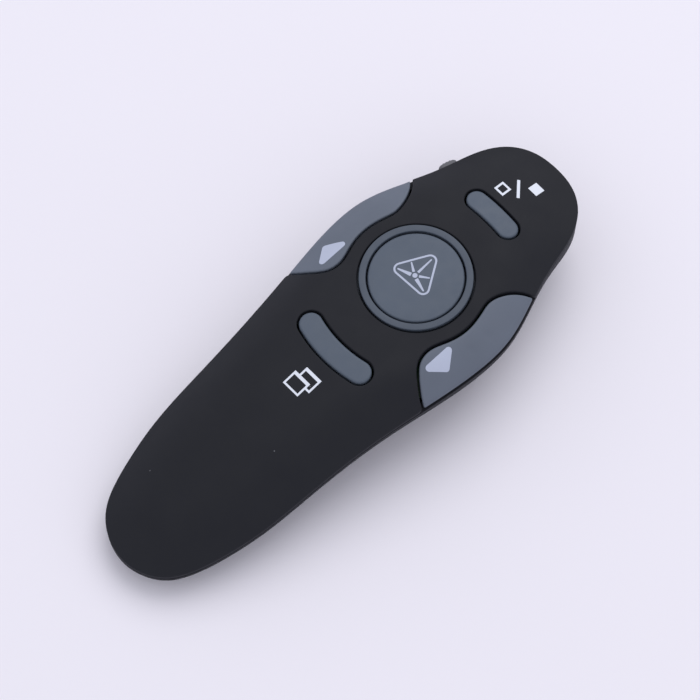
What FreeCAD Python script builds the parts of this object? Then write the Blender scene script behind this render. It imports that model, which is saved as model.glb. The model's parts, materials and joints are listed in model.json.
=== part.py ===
import FreeCAD, Part
import math
import os

import Sketcher

# Wireless presentation clicker, in millimetres.
# X runs from the tail to the nose, +Y is the left side, +Z is up.
# The origin is under the middle of the outer box, on the table.

os.makedirs("parts", exist_ok=True)
doc = FreeCAD.newDocument("presentation_clicker")
Vector = FreeCAD.Vector


# Driving sizes, one row each: name, value, what it is
SIZES = [
    ("body_length", 124.2, "tail to nose of the two shells"),
    ("body_width", 46.1, "across the page keys"),
    ("crown_height", 23.0, "top of the shell at the laser button, above the table"),
    ("crown_sag", 1.35, "fall of the crown from the middle line to the widest edge"),
    ("edge_rise", 0.85, "height of the upright edge above the parting line"),
    ("top_roll", 12.0, "width of the rounded border of the top"),
    ("belly_roll", 8.0, "width of the rounded border of the underside"),
    ("belly_dip", 0.3, "how far the belly would reach below the flat it rests on"),
    ("shell_wall", 1.8, "thickness of both shells"),
    ("roof_drop", 2.1, "thickness of a tall top, measured straight down"),
    ("roof_thinning", 2.0, "height above the parting line at which that is halved"),
    ("roof_margin", 0.6, "how softly the roof stays above the parting line"),
    ("seam_groove", 0.35, "height of the shadow line at the parting"),
    ("seam_groove_depth", 0.6, "how far the shadow line goes in"),
    ("ring_x", 20.5, "laser button ahead of the middle"),
    ("ring_tilt", 2.8, "slope of the crown under the laser button, in degrees"),
    ("ring_radius", 12.0, "outside of the bezel"),
    ("ring_width", 1.45, "face of the bezel"),
    ("ring_rise", 0.2, "bezel above the crown"),
    ("ring_seat_depth", 2.9, "seat of the bezel's flange below the crown"),
    ("ring_flange", 1.7, "how far the bezel's flange reaches under its seat"),
    ("ring_flange_thickness", 0.8, "thickness of that flange"),
    ("cap_gap", 0.4, "gap between the laser button and its bezel"),
    ("cap_crown", 0.35, "crown of the laser button"),
    ("cap_flange", 1.0, "flange that keeps the laser button in"),
    ("cap_flange_thickness", 0.7, "thickness of that flange"),
    ("key_gap", 0.4, "gap round each key"),
    ("key_travel", 0.4, "how far a key goes down"),
    ("key_clearance", 0.3, "room left under a key that is pressed"),
    ("key_inset", 0.25, "outer edge of a page key inside the body's outline"),
    ("key_flange", 0.9, "flange that keeps a key in"),
    ("key_flange_thickness", 0.8, "thickness of that flange"),
    ("key_wall", 1.3, "wall of a hollow key"),
    ("key_edge_round", 0.45, "rounded rim of the arc key and the bar key"),
    ("stem_radius", 1.3, "stem that presses the switch"),
    ("arc_key_x", 23.85, "middle of the arc key behind the laser button"),
    ("arc_key_bow", 29.5, "radius that the arc key is bowed on"),
    ("arc_key_width", 5.05, "width of the arc key"),
    ("arc_key_length", 19.95, "length of the arc key"),
    ("bar_key_x", 22.35, "middle of the bar key ahead of the laser button"),
    ("bar_key_bow", 50.0, "radius that the bar key is bowed on"),
    ("bar_key_width", 4.65, "width of the bar key"),
    ("bar_key_length", 13.8, "length of the bar key"),
    ("page_switch_back", 3.0, "page key switches behind the laser button"),
    ("page_switch_side", 17.0, "page key switches beside the middle line"),
    ("board_height", 13.0, "underside of the board above the table"),
    ("board_thickness", 1.2, "thickness of the board"),
    ("board_inset", 3.4, "edge of the board inside the body's outline"),
    ("board_back", 27.0, "rear end of the board behind the laser button"),
    ("board_front", 34.0, "front end of the board ahead of the laser button"),
    ("board_notch_front", 24.6, "where the notch for the laser begins"),
    ("board_notch_gap", 0.5, "gap between the board and the laser's cradle"),
    ("tact_side", 4.5, "side of a tact switch"),
    ("tact_body_height", 3.1, "height of its body"),
    ("tact_plunger_radius", 1.0, "radius of its plunger"),
    ("tact_plunger_rise", 0.6, "plunger above the body"),
    ("tact_bore_gap", 0.1, "gap round the plunger"),
    ("tact_bore_depth", 2.0, "depth of the plunger's bore"),
    ("tact_plunger_sunk", 1.3, "plunger inside the body at rest"),
    ("radio_chip_side", 5.0, "side of the radio chip"),
    ("radio_chip_height", 0.9, "height of the radio chip"),
    ("radio_chip_back", 10.0, "radio chip behind the laser button"),
    ("radio_chip_side_offset", 5.0, "radio chip beside the middle line"),
    ("crystal_length", 3.2, "length of the crystal"),
    ("crystal_width", 2.5, "width of the crystal"),
    ("crystal_height", 0.7, "height of the crystal"),
    ("crystal_offset", 5.5, "crystal on the other side of the middle line"),
    ("cell_radius", 5.25, "radius of a cell"),
    ("cell_length", 44.5, "length of a cell with its nub"),
    ("cell_nub_radius", 1.9, "radius of the nub"),
    ("cell_nub_length", 1.0, "length of the nub"),
    ("cell_spread", 5.8, "each cell's axis beside the middle line"),
    ("cell_bevel", 0.5, "rolled edge of a cell's can"),
    ("cell_clearance", 0.25, "gap under and above the cells"),
    ("bay_back", 63.0, "rear face of the battery bay behind the laser button"),
    ("bay_wall", 1.2, "thickness of the bay's walls"),
    ("bay_height", 12.4, "top of the bay's end walls"),
    ("bay_side_height", 9.0, "top of the bay's side walls"),
    ("contact_thickness", 0.4, "thickness of the contact plates"),
    ("contact_width", 8.0, "width of the single contact plates"),
    ("contact_dimple", 1.2, "dimple that meets a nub"),
    ("contact_dimple_radius", 2.2, "radius of the dimple"),
    ("contact_foot", 0.4, "contact plates above the door"),
    ("contact_top", 11.0, "top of the contact plates above the table"),
    ("spring_length", 3.5, "battery spring as fitted"),
    ("spring_base_radius", 3.3, "battery spring at its plate"),
    ("spring_tip_radius", 2.2, "battery spring at the cell"),
    ("spring_wire_radius", 0.25, "battery spring's wire"),
    ("door_thickness", 1.7, "battery door"),
    ("door_half_width", 10.9, "half of the door's outside"),
    ("door_dovetail", 0.8, "how much wider the door is inside, each side"),
    ("door_clearance", 0.2, "gap round the door"),
    ("door_back", 77.0, "rear end of the door behind the laser button"),
    ("door_front", 4.0, "front end of the door ahead of the laser button"),
    ("door_ridge_width", 0.8, "width of a thumb ridge"),
    ("door_ridge_depth", 0.4, "depth of the grooves between ridges"),
    ("door_ridge_pitch", 1.8, "spacing of the thumb grooves"),
    ("door_ridge_length", 11.0, "length of the thumb grooves"),
    ("deck_thickness", 1.3, "floor of the tail above the door"),
    ("receiver_width", 12.4, "housing of the stored receiver"),
    ("receiver_height", 5.6, "height of that housing"),
    ("receiver_grip", 7.0, "length of that housing"),
    ("receiver_plug_width", 12.0, "plug of the receiver"),
    ("receiver_plug_height", 4.5, "height of the plug"),
    ("receiver_plug_length", 12.0, "length of the plug"),
    ("receiver_plug_wall", 0.35, "sheet metal of the plug"),
    ("receiver_tongue_height", 1.8, "tongue inside the plug"),
    ("receiver_clearance", 0.3, "gap round the receiver"),
    ("case_screw_front", 16.0, "front case screws ahead of the laser button"),
    ("case_screw_side", 9.8, "front case screws beside the middle line"),
    ("case_screw_back", 69.5, "rear case screw behind the laser button"),
    ("case_boss_radius", 2.7, "screw bosses"),
    ("case_screw_radius", 1.0, "thread of a case screw"),
    ("case_head_radius", 1.9, "head of a case screw"),
    ("case_head_height", 1.3, "height of that head"),
    ("case_screw_length", 8.0, "length below the head"),
    ("rear_screw_length", 6.0, "the same for the rear screw"),
    ("screw_slot_width", 0.5, "cross slot in a screw's head"),
    ("screw_slot_depth", 0.6, "depth of the cross slot"),
    ("screw_gap", 0.05, "gap round a screw"),
    ("head_gap", 0.25, "gap round a screw's head"),
    ("board_screw_back", 19.5, "board screws behind the laser button"),
    ("board_screw_side", 14.0, "board screws beside the middle line"),
    ("board_boss_radius", 2.0, "bosses that the board hangs from"),
    ("board_screw_radius", 0.8, "thread of a board screw"),
    ("board_head_radius", 1.5, "head of a board screw"),
    ("board_head_height", 0.9, "height of that head"),
    ("board_screw_length", 4.5, "length above the head"),
    ("laser_height", 14.6, "axis of the laser above the table"),
    ("laser_back", 26.0, "rear end of the barrel ahead of the laser button"),
    ("laser_length", 10.6, "length of the barrel"),
    ("laser_radius", 2.9, "radius of the barrel"),
    ("laser_bore", 2.1, "bore of the barrel"),
    ("laser_lens_length", 1.8, "thickness of the lens"),
    ("laser_diode_length", 2.6, "length of the diode"),
    ("laser_fit", 0.02, "gap between the barrel and what it holds"),
    ("laser_lens_setback", 0.8, "lens behind the barrel's mouth"),
    ("cradle_width", 8.0, "width of the laser's cradle"),
    ("cradle_length", 3.2, "length of the laser's cradle"),
    ("cradle_start", 3.0, "cradle ahead of the barrel's rear end"),
    ("window_half_width", 9.0, "half of the window in the nose"),
    ("window_reach", 8.0, "how far behind the nose's tip the window's opening is cut"),
    ("window_low", 12.4, "lower edge of the window"),
    ("window_high", 17.2, "upper edge of the window"),
    ("window_proud", 0.2, "how far the window stands out of the nose"),
    ("window_gap", 0.1, "gap round the window"),
    ("window_flange", 1.0, "flange behind the wall"),
    ("window_flange_thickness", 0.8, "thickness of that flange"),
    ("switch_x", 25.4, "power switch ahead of the laser button"),
    ("switch_edge", 16.15, "outside of the wall at the power switch"),
    ("switch_angle", 14.5, "slope of the wall there, in degrees"),
    ("switch_height", 16.1, "middle of the knob above the table"),
    ("switch_travel", 2.6, "how far the knob slides"),
    ("knob_proud", 1.6, "how far the knob stands out"),
    ("knob_length", 4.4, "length of the knob"),
    ("knob_height", 2.5, "height of the knob"),
    ("knob_bevel", 0.7, "sloped ends of the knob"),
    ("knob_lift", 0.25, "gap between the knob and the wall"),
    ("knob_neck_length", 2.2, "neck in the slot"),
    ("knob_neck_height", 1.5, "height of the neck"),
    ("knob_flange_length", 5.4, "flange behind the wall"),
    ("knob_flange_height", 2.5, "height of that flange"),
    ("knob_flange_thickness", 0.7, "thickness of that flange"),
    ("slot_gap", 0.25, "gap round the neck"),
    ("switch_body_length", 8.5, "slide switch on the board"),
    ("switch_body_depth", 2.6, "depth of the slide switch"),
    ("switch_body_height", 3.3, "height of the slide switch"),
    ("switch_body_setback", 1.5, "slide switch behind the knob's flange"),
    ("overrun", 5.0, "how far a cutting form runs past what it cuts"),
]

sheet = doc.addObject("Spreadsheet::Sheet", "sizes")
for row, (name, value, note) in enumerate(SIZES, start=1):
    sheet.set("A%d" % row, name)
    sheet.set("B%d" % row, str(value))
    sheet.setAlias("B%d" % row, name)
    sheet.set("C%d" % row, note)
doc.recompute()


def size(name):
    """The value of one named size."""
    return float(sheet.get(name))


# Side view of the body, as shares of its length from the tail and of the crown's height
CROWN_SHARES = [
    (0.000, 0.335), (0.070, 0.487), (0.191, 0.682), (0.311, 0.832), (0.472, 0.950), (0.585, 0.978),
    (0.665, 1.000), (0.754, 1.014), (0.842, 0.992), (0.931, 0.920), (1.000, 0.845),
]
SEAM_SHARES = [
    (0.000, 0.218), (0.102, 0.309), (0.191, 0.414), (0.311, 0.545), (0.424, 0.640), (0.545, 0.698),
    (0.665, 0.757), (0.786, 0.785), (0.891, 0.796), (1.000, 0.785),
]
BELLY_SHARES = [
    (0.000, 0.085), (0.050, 0.024), (0.100, 0.000), (0.300, 0.000), (0.500, 0.000), (0.740, 0.000),
    (0.820, 0.055), (0.900, 0.215), (0.960, 0.390), (1.000, 0.500),
]
# Depth of the upright wall under the parting line, as a share of the crown's height
WALL_SHARES = [(0.00, 0.055), (0.30, 0.060), (0.60, 0.078), (0.80, 0.085), (0.92, 0.200), (1.00, 0.285)]
# Width of the rounded border of the top, as a share of top_roll
ROLL_SHARES = [(0.00, 1.00), (0.40, 1.00), (0.55, 0.78), (0.78, 0.75), (0.92, 0.90), (1.00, 0.95)]
# Half of the plan outline from the tail's tip to the nose's tip
OUTLINE_SHARES = [
    (0.000, 0.000), (0.0075, 0.210), (0.036, 0.434), (0.070, 0.543), (0.118, 0.631), (0.191, 0.718),
    (0.290, 0.768), (0.400, 0.818), (0.500, 0.892), (0.590, 0.970), (0.648, 1.000), (0.705, 0.987),
    (0.770, 0.885), (0.830, 0.759), (0.872, 0.690), (0.925, 0.606), (0.968, 0.465), (0.992, 0.270),
    (1.000, 0.000),
]
# Inner edge of a page key, from its front corner to its rear corner, as shares of the bezel's radius
PAGE_KEY_SHARES = [
    (1.392, 1.658), (1.317, 1.546), (1.150, 1.393), (0.976, 1.293), (0.800, 1.229), (0.615, 1.204),
    (0.400, 1.250), (0.000, 1.318), (-0.410, 1.252), (-0.750, 1.150), (-1.005, 1.192), (-1.229, 1.408),
    (-1.386, 1.658), (-1.471, 1.871),
]
ROLL_POWER = 2.0

LENGTH = size("body_length")
HALF_WIDTH = size("body_width") / 2
CROWN_HEIGHT = size("crown_height")
TAIL_X = -(LENGTH + size("window_proud")) / 2
RING_X = size("ring_x")
OVERRUN = size("overrun")


def along(shares, share):
    """A smooth curve through a table of shares."""
    count = len(shares)
    slopes = []
    for index in range(count):
        low = shares[max(index - 1, 0)]
        high = shares[min(index + 1, count - 1)]
        slopes.append((high[1] - low[1]) / (high[0] - low[0]))
    step = 0
    while step < count - 2 and share > shares[step + 1][0]:
        step += 1
    start, end = shares[step], shares[step + 1]
    span = end[0] - start[0]
    part = (share - start[0]) / span
    if part < 0:
        return start[1] + slopes[step] * (share - start[0])
    if part > 1:
        return end[1] + slopes[step + 1] * (share - end[0])
    rise = start[1] * (1 + 2 * part) * (1 - part) ** 2 + end[1] * part ** 2 * (3 - 2 * part)
    lean = slopes[step] * part * (1 - part) ** 2 - slopes[step + 1] * part ** 2 * (1 - part)
    return rise + lean * span


def share_at(x):
    """How far along the body a station is."""
    return (x - TAIL_X) / LENGTH


def seam_height(x):
    return CROWN_HEIGHT * along(SEAM_SHARES, share_at(x))


def outline_curve():
    """The plan outline as one closed smooth curve."""
    left = [Vector(TAIL_X + LENGTH * u, HALF_WIDTH * v, 0) for u, v in OUTLINE_SHARES]
    right = [Vector(point.x, -point.y, 0) for point in reversed(left[1:-1])]
    curve = Part.BSplineCurve()
    curve.interpolate(Points=left + right, PeriodicFlag=True)
    return curve


OUTLINE = outline_curve()
OUTLINE_SAMPLES = [(point.x, point.y) for point in OUTLINE.discretize(Number=361)]


def inside_distance(x, y):
    """Distance from a place to the outline, positive inside."""
    nearest = None
    crossings = 0
    previous = OUTLINE_SAMPLES[-1]
    for point in OUTLINE_SAMPLES:
        dx, dy = point[0] - previous[0], point[1] - previous[1]
        square = dx * dx + dy * dy
        if square > 0:
            share = min(max(((x - previous[0]) * dx + (y - previous[1]) * dy) / square, 0), 1)
            gap = math.hypot(x - previous[0] - share * dx, y - previous[1] - share * dy)
            if nearest is None or gap < nearest:
                nearest = gap
            spans = (previous[1] > y) != (point[1] > y)
            if spans and x < previous[0] + (y - previous[1]) * dx / dy:
                crossings += 1
        previous = point
    return nearest if crossings % 2 else -nearest


def border(distance, width):
    """How much of the border's fall there is at a distance from the outline."""
    return max(0.0, 1 - max(distance, -OVERRUN) / width) ** ROLL_POWER


def crown_surface_height(x, y):
    share = share_at(x)
    crown = CROWN_HEIGHT * along(CROWN_SHARES, share) - size("crown_sag") * (y / HALF_WIDTH) ** 2
    edge = seam_height(x) + size("edge_rise")
    fall = border(inside_distance(x, y), size("top_roll") * along(ROLL_SHARES, share))
    return (1 - fall) * crown + fall * edge


def roof_surface_height(x, y):
    """Inside of the top, which thins towards the parting line and stays above it."""
    top = crown_surface_height(x, y)
    room = top - seam_height(x)
    room = (room + math.hypot(room, size("roof_margin"))) / 2
    return top - size("roof_drop") * room / (room + size("roof_thinning"))


def belly_surface_height(x, y):
    share = share_at(x)
    belly = CROWN_HEIGHT * along(BELLY_SHARES, share) - size("belly_dip")
    edge = seam_height(x) - CROWN_HEIGHT * along(WALL_SHARES, share)
    fall = border(inside_distance(x, y), size("belly_roll"))
    return (1 - fall) * belly + fall * edge


def height_field(surface_height, columns, rows):
    """A smooth face through a grid of heights, wider than the body."""
    reach_x = LENGTH / 2 + OVERRUN
    reach_y = HALF_WIDTH + OVERRUN
    grid = []
    for column in range(columns + 1):
        x = TAIL_X + LENGTH / 2 - reach_x + 2 * reach_x * column / columns
        half = [surface_height(x, reach_y * row / rows) for row in range(rows + 1)]
        strip = [Vector(x, -reach_y * row / rows, half[row]) for row in range(rows, 0, -1)]
        strip += [Vector(x, reach_y * row / rows, half[row]) for row in range(rows + 1)]
        grid.append(strip)
    surface = Part.BSplineSurface()
    surface.interpolate(grid)
    return surface.toShape()


# Helpers for the document

def bind(item, **expressions):
    """Tie properties of an object to sizes in the sheet."""
    for name, expression in expressions.items():
        item.setExpression(name.replace("__", "."), expression)
    return item


def place(item, x=None, y=None, z=None):
    for axis, expression in (("x", x), ("y", y), ("z", z)):
        if expression is not None:
            item.setExpression("Placement.Base." + axis, expression)
    return item


def form(name, shape, lift=None):
    """A form that only a formula gives, lifted by a size."""
    item = doc.addObject("Part::Feature", name)
    item.Shape = shape
    item.Placement = FreeCAD.Placement()
    if lift is not None:
        place(item, z=lift)
    return item


def box(name, length, width, height, x, y, z):
    """A block given by its low corner."""
    item = doc.addObject("Part::Box", name)
    bind(item, Length=length, Width=width, Height=height)
    return place(item, x, y, z)


def cylinder(name, radius, height, x=None, y=None, z=None):
    item = doc.addObject("Part::Cylinder", name)
    bind(item, Radius=radius, Height=height)
    return place(item, x, y, z)


def common(name, *items):
    item = doc.addObject("Part::MultiCommon", name)
    item.Shapes = list(items)
    return item


def fuse(name, *items):
    item = doc.addObject("Part::MultiFuse", name)
    item.Shapes = list(items)
    return item


def cut(name, base, *tools):
    item = doc.addObject("Part::Cut", name)
    item.Base = base
    item.Tool = tools[0] if len(tools) == 1 else fuse(name + "_cutters", *tools)
    return item


def mirrored(name, source):
    """The same form on the other side of the middle plane."""
    item = doc.addObject("Part::Mirroring", name)
    item.Source = source
    item.Normal = Vector(0, 1, 0)
    item.Base = Vector(0, 0, 0)
    return item


def extruded(name, outline, length):
    item = doc.addObject("Part::Extrusion", name)
    item.Base = outline
    item.DirMode = "Custom"
    item.Dir = Vector(0, 0, 1)
    item.Solid = True
    return bind(item, LengthFwd=length)


def curve_sketch(name, edges):
    """A closed outline of arcs and smooth curves."""
    sketch = doc.addObject("Sketcher::SketchObject", name)
    sketch.addGeometry(edges, False)
    return sketch


def new_body(label):
    body = doc.addObject("PartDesign::Body", label)
    body.Label = label
    return body


def new_sketch(body, name, role, offset=None):
    """A sketch on one of the body's own planes."""
    plane = [feature for feature in body.Origin.OriginFeatures if feature.Role == role][0]
    sketch = body.newObject("Sketcher::SketchObject", name)
    sketch.AttachmentSupport = [(plane, "")]
    sketch.MapMode = "FlatFace"
    if offset is not None:
        sketch.setExpression(".AttachmentOffset.Base.z", offset)
    return sketch


def polygon(body, name, role, corners, offset=None):
    """A closed outline whose corners are tied to sizes."""
    sketch = new_sketch(body, name, role, offset)
    count = len(corners)
    turn = [2 * math.pi * index / count for index in range(count)]
    start = [Vector(math.cos(angle), math.sin(angle), 0) for angle in turn]
    for index in range(count):
        sketch.addGeometry(Part.LineSegment(start[index], start[(index + 1) % count]), False)
    for index in range(count):
        sketch.addConstraint(Sketcher.Constraint("Coincident", index, 2, (index + 1) % count, 1))
    for index, corner in enumerate(corners):
        for kind, expression, value in (("DistanceX", corner[0], start[index].x),
                                        ("DistanceY", corner[1], start[index].y)):
            number = sketch.addConstraint(Sketcher.Constraint(kind, -1, 1, index, 1, value))
            sketch.setExpression("Constraints[%d]" % number, expression)
    return sketch


def rectangle(body, name, role, low_x, high_x, low_y, high_y, offset=None):
    corners = [(low_x, low_y), (high_x, low_y), (high_x, high_y), (low_x, high_y)]
    return polygon(body, name, role, corners, offset)


def circle(body, name, role, radius, offset=None, x="0", y="0"):
    sketch = new_sketch(body, name, role, offset)
    sketch.addGeometry(Part.Circle(Vector(0, 0, 0), Vector(0, 0, 1), 1), False)
    for kind, expression in (("DistanceX", x), ("DistanceY", y)):
        number = sketch.addConstraint(Sketcher.Constraint(kind, -1, 1, 0, 3, 0))
        sketch.setExpression("Constraints[%d]" % number, expression)
    number = sketch.addConstraint(Sketcher.Constraint("Radius", 0, 1))
    sketch.setExpression("Constraints[%d]" % number, radius)
    return sketch


def pad(body, sketch, length, reverse=False):
    feature = body.newObject("PartDesign::Pad", sketch.Name + "_pad")
    feature.Profile = sketch
    feature.Reversed = reverse
    return bind(feature, Length=length)


def pocket(body, sketch, length, reverse=False):
    feature = body.newObject("PartDesign::Pocket", sketch.Name + "_pocket")
    feature.Profile = sketch
    feature.Reversed = reverse
    return bind(feature, Length=length)


def revolve(body, sketch, axis="V_Axis"):
    feature = body.newObject("PartDesign::Revolution", sketch.Name + "_turned")
    feature.Profile = sketch
    feature.ReferenceAxis = (sketch, [axis])
    feature.Angle = 360
    return feature


# Forms that both shells and the keys share

def block_below(surface_height):
    return height_field(surface_height, 32, 10).extrude(Vector(0, 0, -2 * CROWN_HEIGHT))


def belly_block():
    return height_field(belly_surface_height, 32, 12).extrude(Vector(0, 0, 2 * CROWN_HEIGHT))


def seam_block():
    """Everything above the parting line, which only bends in the side view."""
    stations = 24
    reach = LENGTH / 2 + OVERRUN
    middle = TAIL_X + LENGTH / 2
    places = [middle - reach + 2 * reach * index / stations for index in range(stations + 1)]
    curve = Part.BSplineCurve()
    curve.interpolate([Vector(x, -HALF_WIDTH - OVERRUN, seam_height(x)) for x in places])
    face = curve.toShape().extrude(Vector(0, 2 * (HALF_WIDTH + OVERRUN), 0))
    return face.extrude(Vector(0, 0, 2 * CROWN_HEIGHT))


def outline_block(inset):
    """An upright block inside the plan outline, drawn in or let out evenly."""
    first, last = OUTLINE.FirstParameter, OUTLINE.LastParameter
    count = 72
    points = []
    for index in range(count):
        spot = first + (last - first) * index / count
        run = OUTLINE.tangent(spot)[0]
        side = Vector(run.y, -run.x, 0)
        points.append(OUTLINE.value(spot) + side * inset)
    curve = Part.BSplineCurve()
    curve.interpolate(Points=points, PeriodicFlag=True)
    face = Part.Face(Part.Wire([curve.toShape()]))
    face.translate(Vector(0, 0, -OVERRUN))
    return face.extrude(Vector(0, 0, 2 * CROWN_HEIGHT))


BODY_TOP = form("body_top", block_below(crown_surface_height))
BODY_ROOF = form("body_roof", block_below(roof_surface_height))
BODY_UNDER = form("body_under", belly_block())
BODY_FLOOR = form("body_floor", BODY_UNDER.Shape, "sizes.shell_wall")
ABOVE_SEAM = form("above_seam", seam_block())
OUTSIDE = form("outside", outline_block(0.0))
INSIDE = form("inside", outline_block(size("shell_wall")))
ABOVE_TABLE = box("above_table", "2 * sizes.body_length", "2 * sizes.body_width", "2 * sizes.crown_height",
                  "-sizes.body_length", "-sizes.body_width", "0")

whole_body = common("whole_body", OUTSIDE, BODY_TOP, BODY_UNDER, ABOVE_TABLE)
hollow = common("hollow", INSIDE, BODY_ROOF, BODY_FLOOR)
body_walls = cut("body_walls", whole_body, hollow)


# Outlines of the keys, seen from above

def page_key_outline(name, amount):
    """The left page key, let out by an amount: a wavy inner edge, and lines out past the body."""
    radius = size("ring_radius")
    wave = Part.BSplineCurve()
    wave.interpolate([Vector(RING_X + radius * u, radius * v, 0) for u, v in PAGE_KEY_SHARES])
    first, last = wave.FirstParameter, wave.LastParameter
    count = 2 * (len(PAGE_KEY_SHARES) - 1)
    inner = []
    for index in range(count + 1):
        spot = first + (last - first) * index / count
        run = wave.tangent(spot)[0]
        inner.append(wave.value(spot) + Vector(-run.y, run.x, 0) * amount)
    edge = Part.BSplineCurve()
    edge.interpolate(inner)
    beyond = HALF_WIDTH + OVERRUN
    corners = [inner[-1], Vector(inner[-1].x, beyond, 0), Vector(inner[0].x, beyond, 0), inner[0]]
    return curve_sketch(name, [edge] + [Part.LineSegment(*ends) for ends in zip(corners, corners[1:])])


def bowed_slot(centre_x, radius, half_width, half_angle, towards):
    """A slot with round ends along an arc, at a centre on the middle line."""
    def at(distance, angle):
        return Vector(centre_x + towards * distance * math.cos(angle), distance * math.sin(angle), 0)

    def cap(angle, side):
        outer = at(radius + half_width, angle)
        inner = at(radius - half_width, angle)
        along_arc = Vector(-towards * math.sin(angle), math.cos(angle), 0) * side * half_width
        return Part.Arc(outer, at(radius, angle) + along_arc, inner)

    far, near = radius + half_width, radius - half_width
    outer = Part.Arc(at(far, -half_angle), at(far, 0), at(far, half_angle))
    inner = Part.Arc(at(near, half_angle), at(near, 0), at(near, -half_angle))
    return [outer, cap(half_angle, 1), inner, cap(-half_angle, -1)]


def bowed_key_outline(name, key, amount, towards):
    """The outline of the arc key or the bar key, let out by an amount."""
    bow = size(key + "_bow")
    width = size(key + "_width")
    half_angle = math.asin((size(key + "_length") - width) / 2 / bow)
    centre_x = RING_X + towards * (size(key + "_x") - bow)
    return curve_sketch(name, bowed_slot(centre_x, bow, width / 2 + amount, half_angle, towards))


def arc_key_outline(name, amount):
    """The arc key's outline behind the laser button, let out by an amount."""
    return bowed_key_outline(name, "arc_key", amount, -1)


def bar_key_outline(name, amount):
    """The bar key's outline ahead of the laser button, let out by an amount."""
    return bowed_key_outline(name, "bar_key", amount, 1)


# Places that several pieces share, in terms of the sheet
BOARD_TOP = "(sizes.board_height + sizes.board_thickness)"
PLUNGER_TOP = "(%s + sizes.tact_body_height + sizes.tact_plunger_rise)" % BOARD_TOP
FRONT_PLATE_X = "(sizes.ring_x - sizes.bay_back + sizes.bay_wall + sizes.contact_thickness * 2" \
                " + sizes.contact_dimple + sizes.cell_length + sizes.spring_length)"
REAR_PLATE_X = "(sizes.ring_x - sizes.bay_back + sizes.bay_wall)"
CELL_Z = "(sizes.door_thickness + sizes.cell_clearance + sizes.cell_radius)"
NOSE_X = "((sizes.body_length - sizes.window_proud) / 2)"


# Shells

def ring_tilted(item):
    """Lean a form with the crown under the laser button."""
    item.Placement = FreeCAD.Placement(Vector(0, 0, 0), FreeCAD.Rotation(Vector(0, 1, 0), 0))
    item.setExpression("Placement.Rotation.Angle", "-sizes.ring_tilt * 1deg")
    return item


def on_ring(item, depth):
    """Put a tilted form a depth below the crown, at the laser button."""
    ring_tilted(item)
    x = "sizes.ring_x + (%s) * sin(sizes.ring_tilt * 1deg)" % depth
    z = "sizes.crown_height - (%s) * cos(sizes.ring_tilt * 1deg)" % depth
    return place(item, x=x, z=z)


def top_openings():
    """Holes in the top for the keys and the laser button."""
    tall = "2 * sizes.crown_height"
    page = page_key_outline("page_opening_outline", size("key_gap"))
    page_left = extruded("page_opening_left", page, tall)
    page_right = mirrored("page_opening_right", page_left)
    arc = extruded("arc_opening", arc_key_outline("arc_opening_outline", size("key_gap")), tall)
    bar = extruded("bar_opening", bar_key_outline("bar_opening_outline", size("key_gap")), tall)
    ring = on_ring(cylinder("ring_opening", "sizes.ring_radius + sizes.key_gap / 2",
                            "sizes.ring_seat_depth + sizes.overrun"), "sizes.ring_seat_depth")
    below = on_ring(cylinder("ring_recess", "sizes.ring_radius + sizes.ring_flange + sizes.key_gap",
                             "2 * sizes.ring_seat_depth"), "3 * sizes.ring_seat_depth")
    return [page_left, page_right, arc, bar, ring, below]


def ring_seat():
    """A collar under the top that the bezel's flange meets."""
    collar = on_ring(cylinder("ring_collar", "sizes.ring_radius + sizes.ring_flange + sizes.key_gap",
                              "sizes.ring_seat_depth"), "sizes.ring_seat_depth")
    return common("ring_seat_collar", collar, BODY_TOP)


def post(name, radius, low, x, y):
    """An upright post from a height up to the top's outside."""
    column = cylinder(name + "_column", radius, "2 * sizes.crown_height", x, y, low)
    return common(name, column, BODY_TOP)


CASE_FRONT_X = "sizes.ring_x + sizes.case_screw_front"
CASE_BACK_X = "sizes.ring_x - sizes.case_screw_back"
BOARD_SCREW_X = "sizes.ring_x - sizes.board_screw_back"
CASE_SPLIT = "(%s + 1.6 * sizes.board_thickness)" % BOARD_TOP
REAR_SPLIT = "(sizes.door_thickness + sizes.door_clearance + 3 * sizes.deck_thickness)"
HEAD_TOP = "(sizes.door_thickness + sizes.door_clearance + sizes.case_head_height)"
SIDES = (("left", "1 *"), ("right", "-1 *"))


def top_posts():
    """Posts that the screws bite into, with their pilot holes."""
    posts = []
    pilots = []
    for side, sign in SIDES:
        y = sign + " sizes.case_screw_side"
        posts.append(post("case_post_" + side, "sizes.case_boss_radius", CASE_SPLIT, CASE_FRONT_X, y))
        pilots.append(cylinder("case_pilot_" + side, "sizes.case_screw_radius + sizes.screw_gap",
                               "sizes.case_screw_length / 2", CASE_FRONT_X, y, CASE_SPLIT))
        y = sign + " sizes.board_screw_side"
        posts.append(post("board_post_" + side, "sizes.board_boss_radius", BOARD_TOP, BOARD_SCREW_X, y))
        pilots.append(cylinder("board_pilot_" + side, "sizes.board_screw_radius + sizes.screw_gap",
                               "sizes.board_screw_length", BOARD_SCREW_X, y, BOARD_TOP))
    posts.append(post("rear_post", "sizes.case_boss_radius", REAR_SPLIT, CASE_BACK_X, "0"))
    pilots.append(cylinder("rear_pilot", "sizes.case_screw_radius + sizes.screw_gap",
                           "sizes.rear_screw_length - 2 * sizes.deck_thickness + sizes.head_gap",
                           CASE_BACK_X, "0", REAR_SPLIT))
    return posts, pilots


def make_top_shell():
    posts, pilots = top_posts()
    skin = common("top_skin", body_walls, ABOVE_SEAM)
    solid = fuse("top_solid", skin, ring_seat(), *posts)
    shell = cut("top_shell", solid, *(top_openings() + pilots))
    shell.Label = "top_shell"
    return shell


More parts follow.
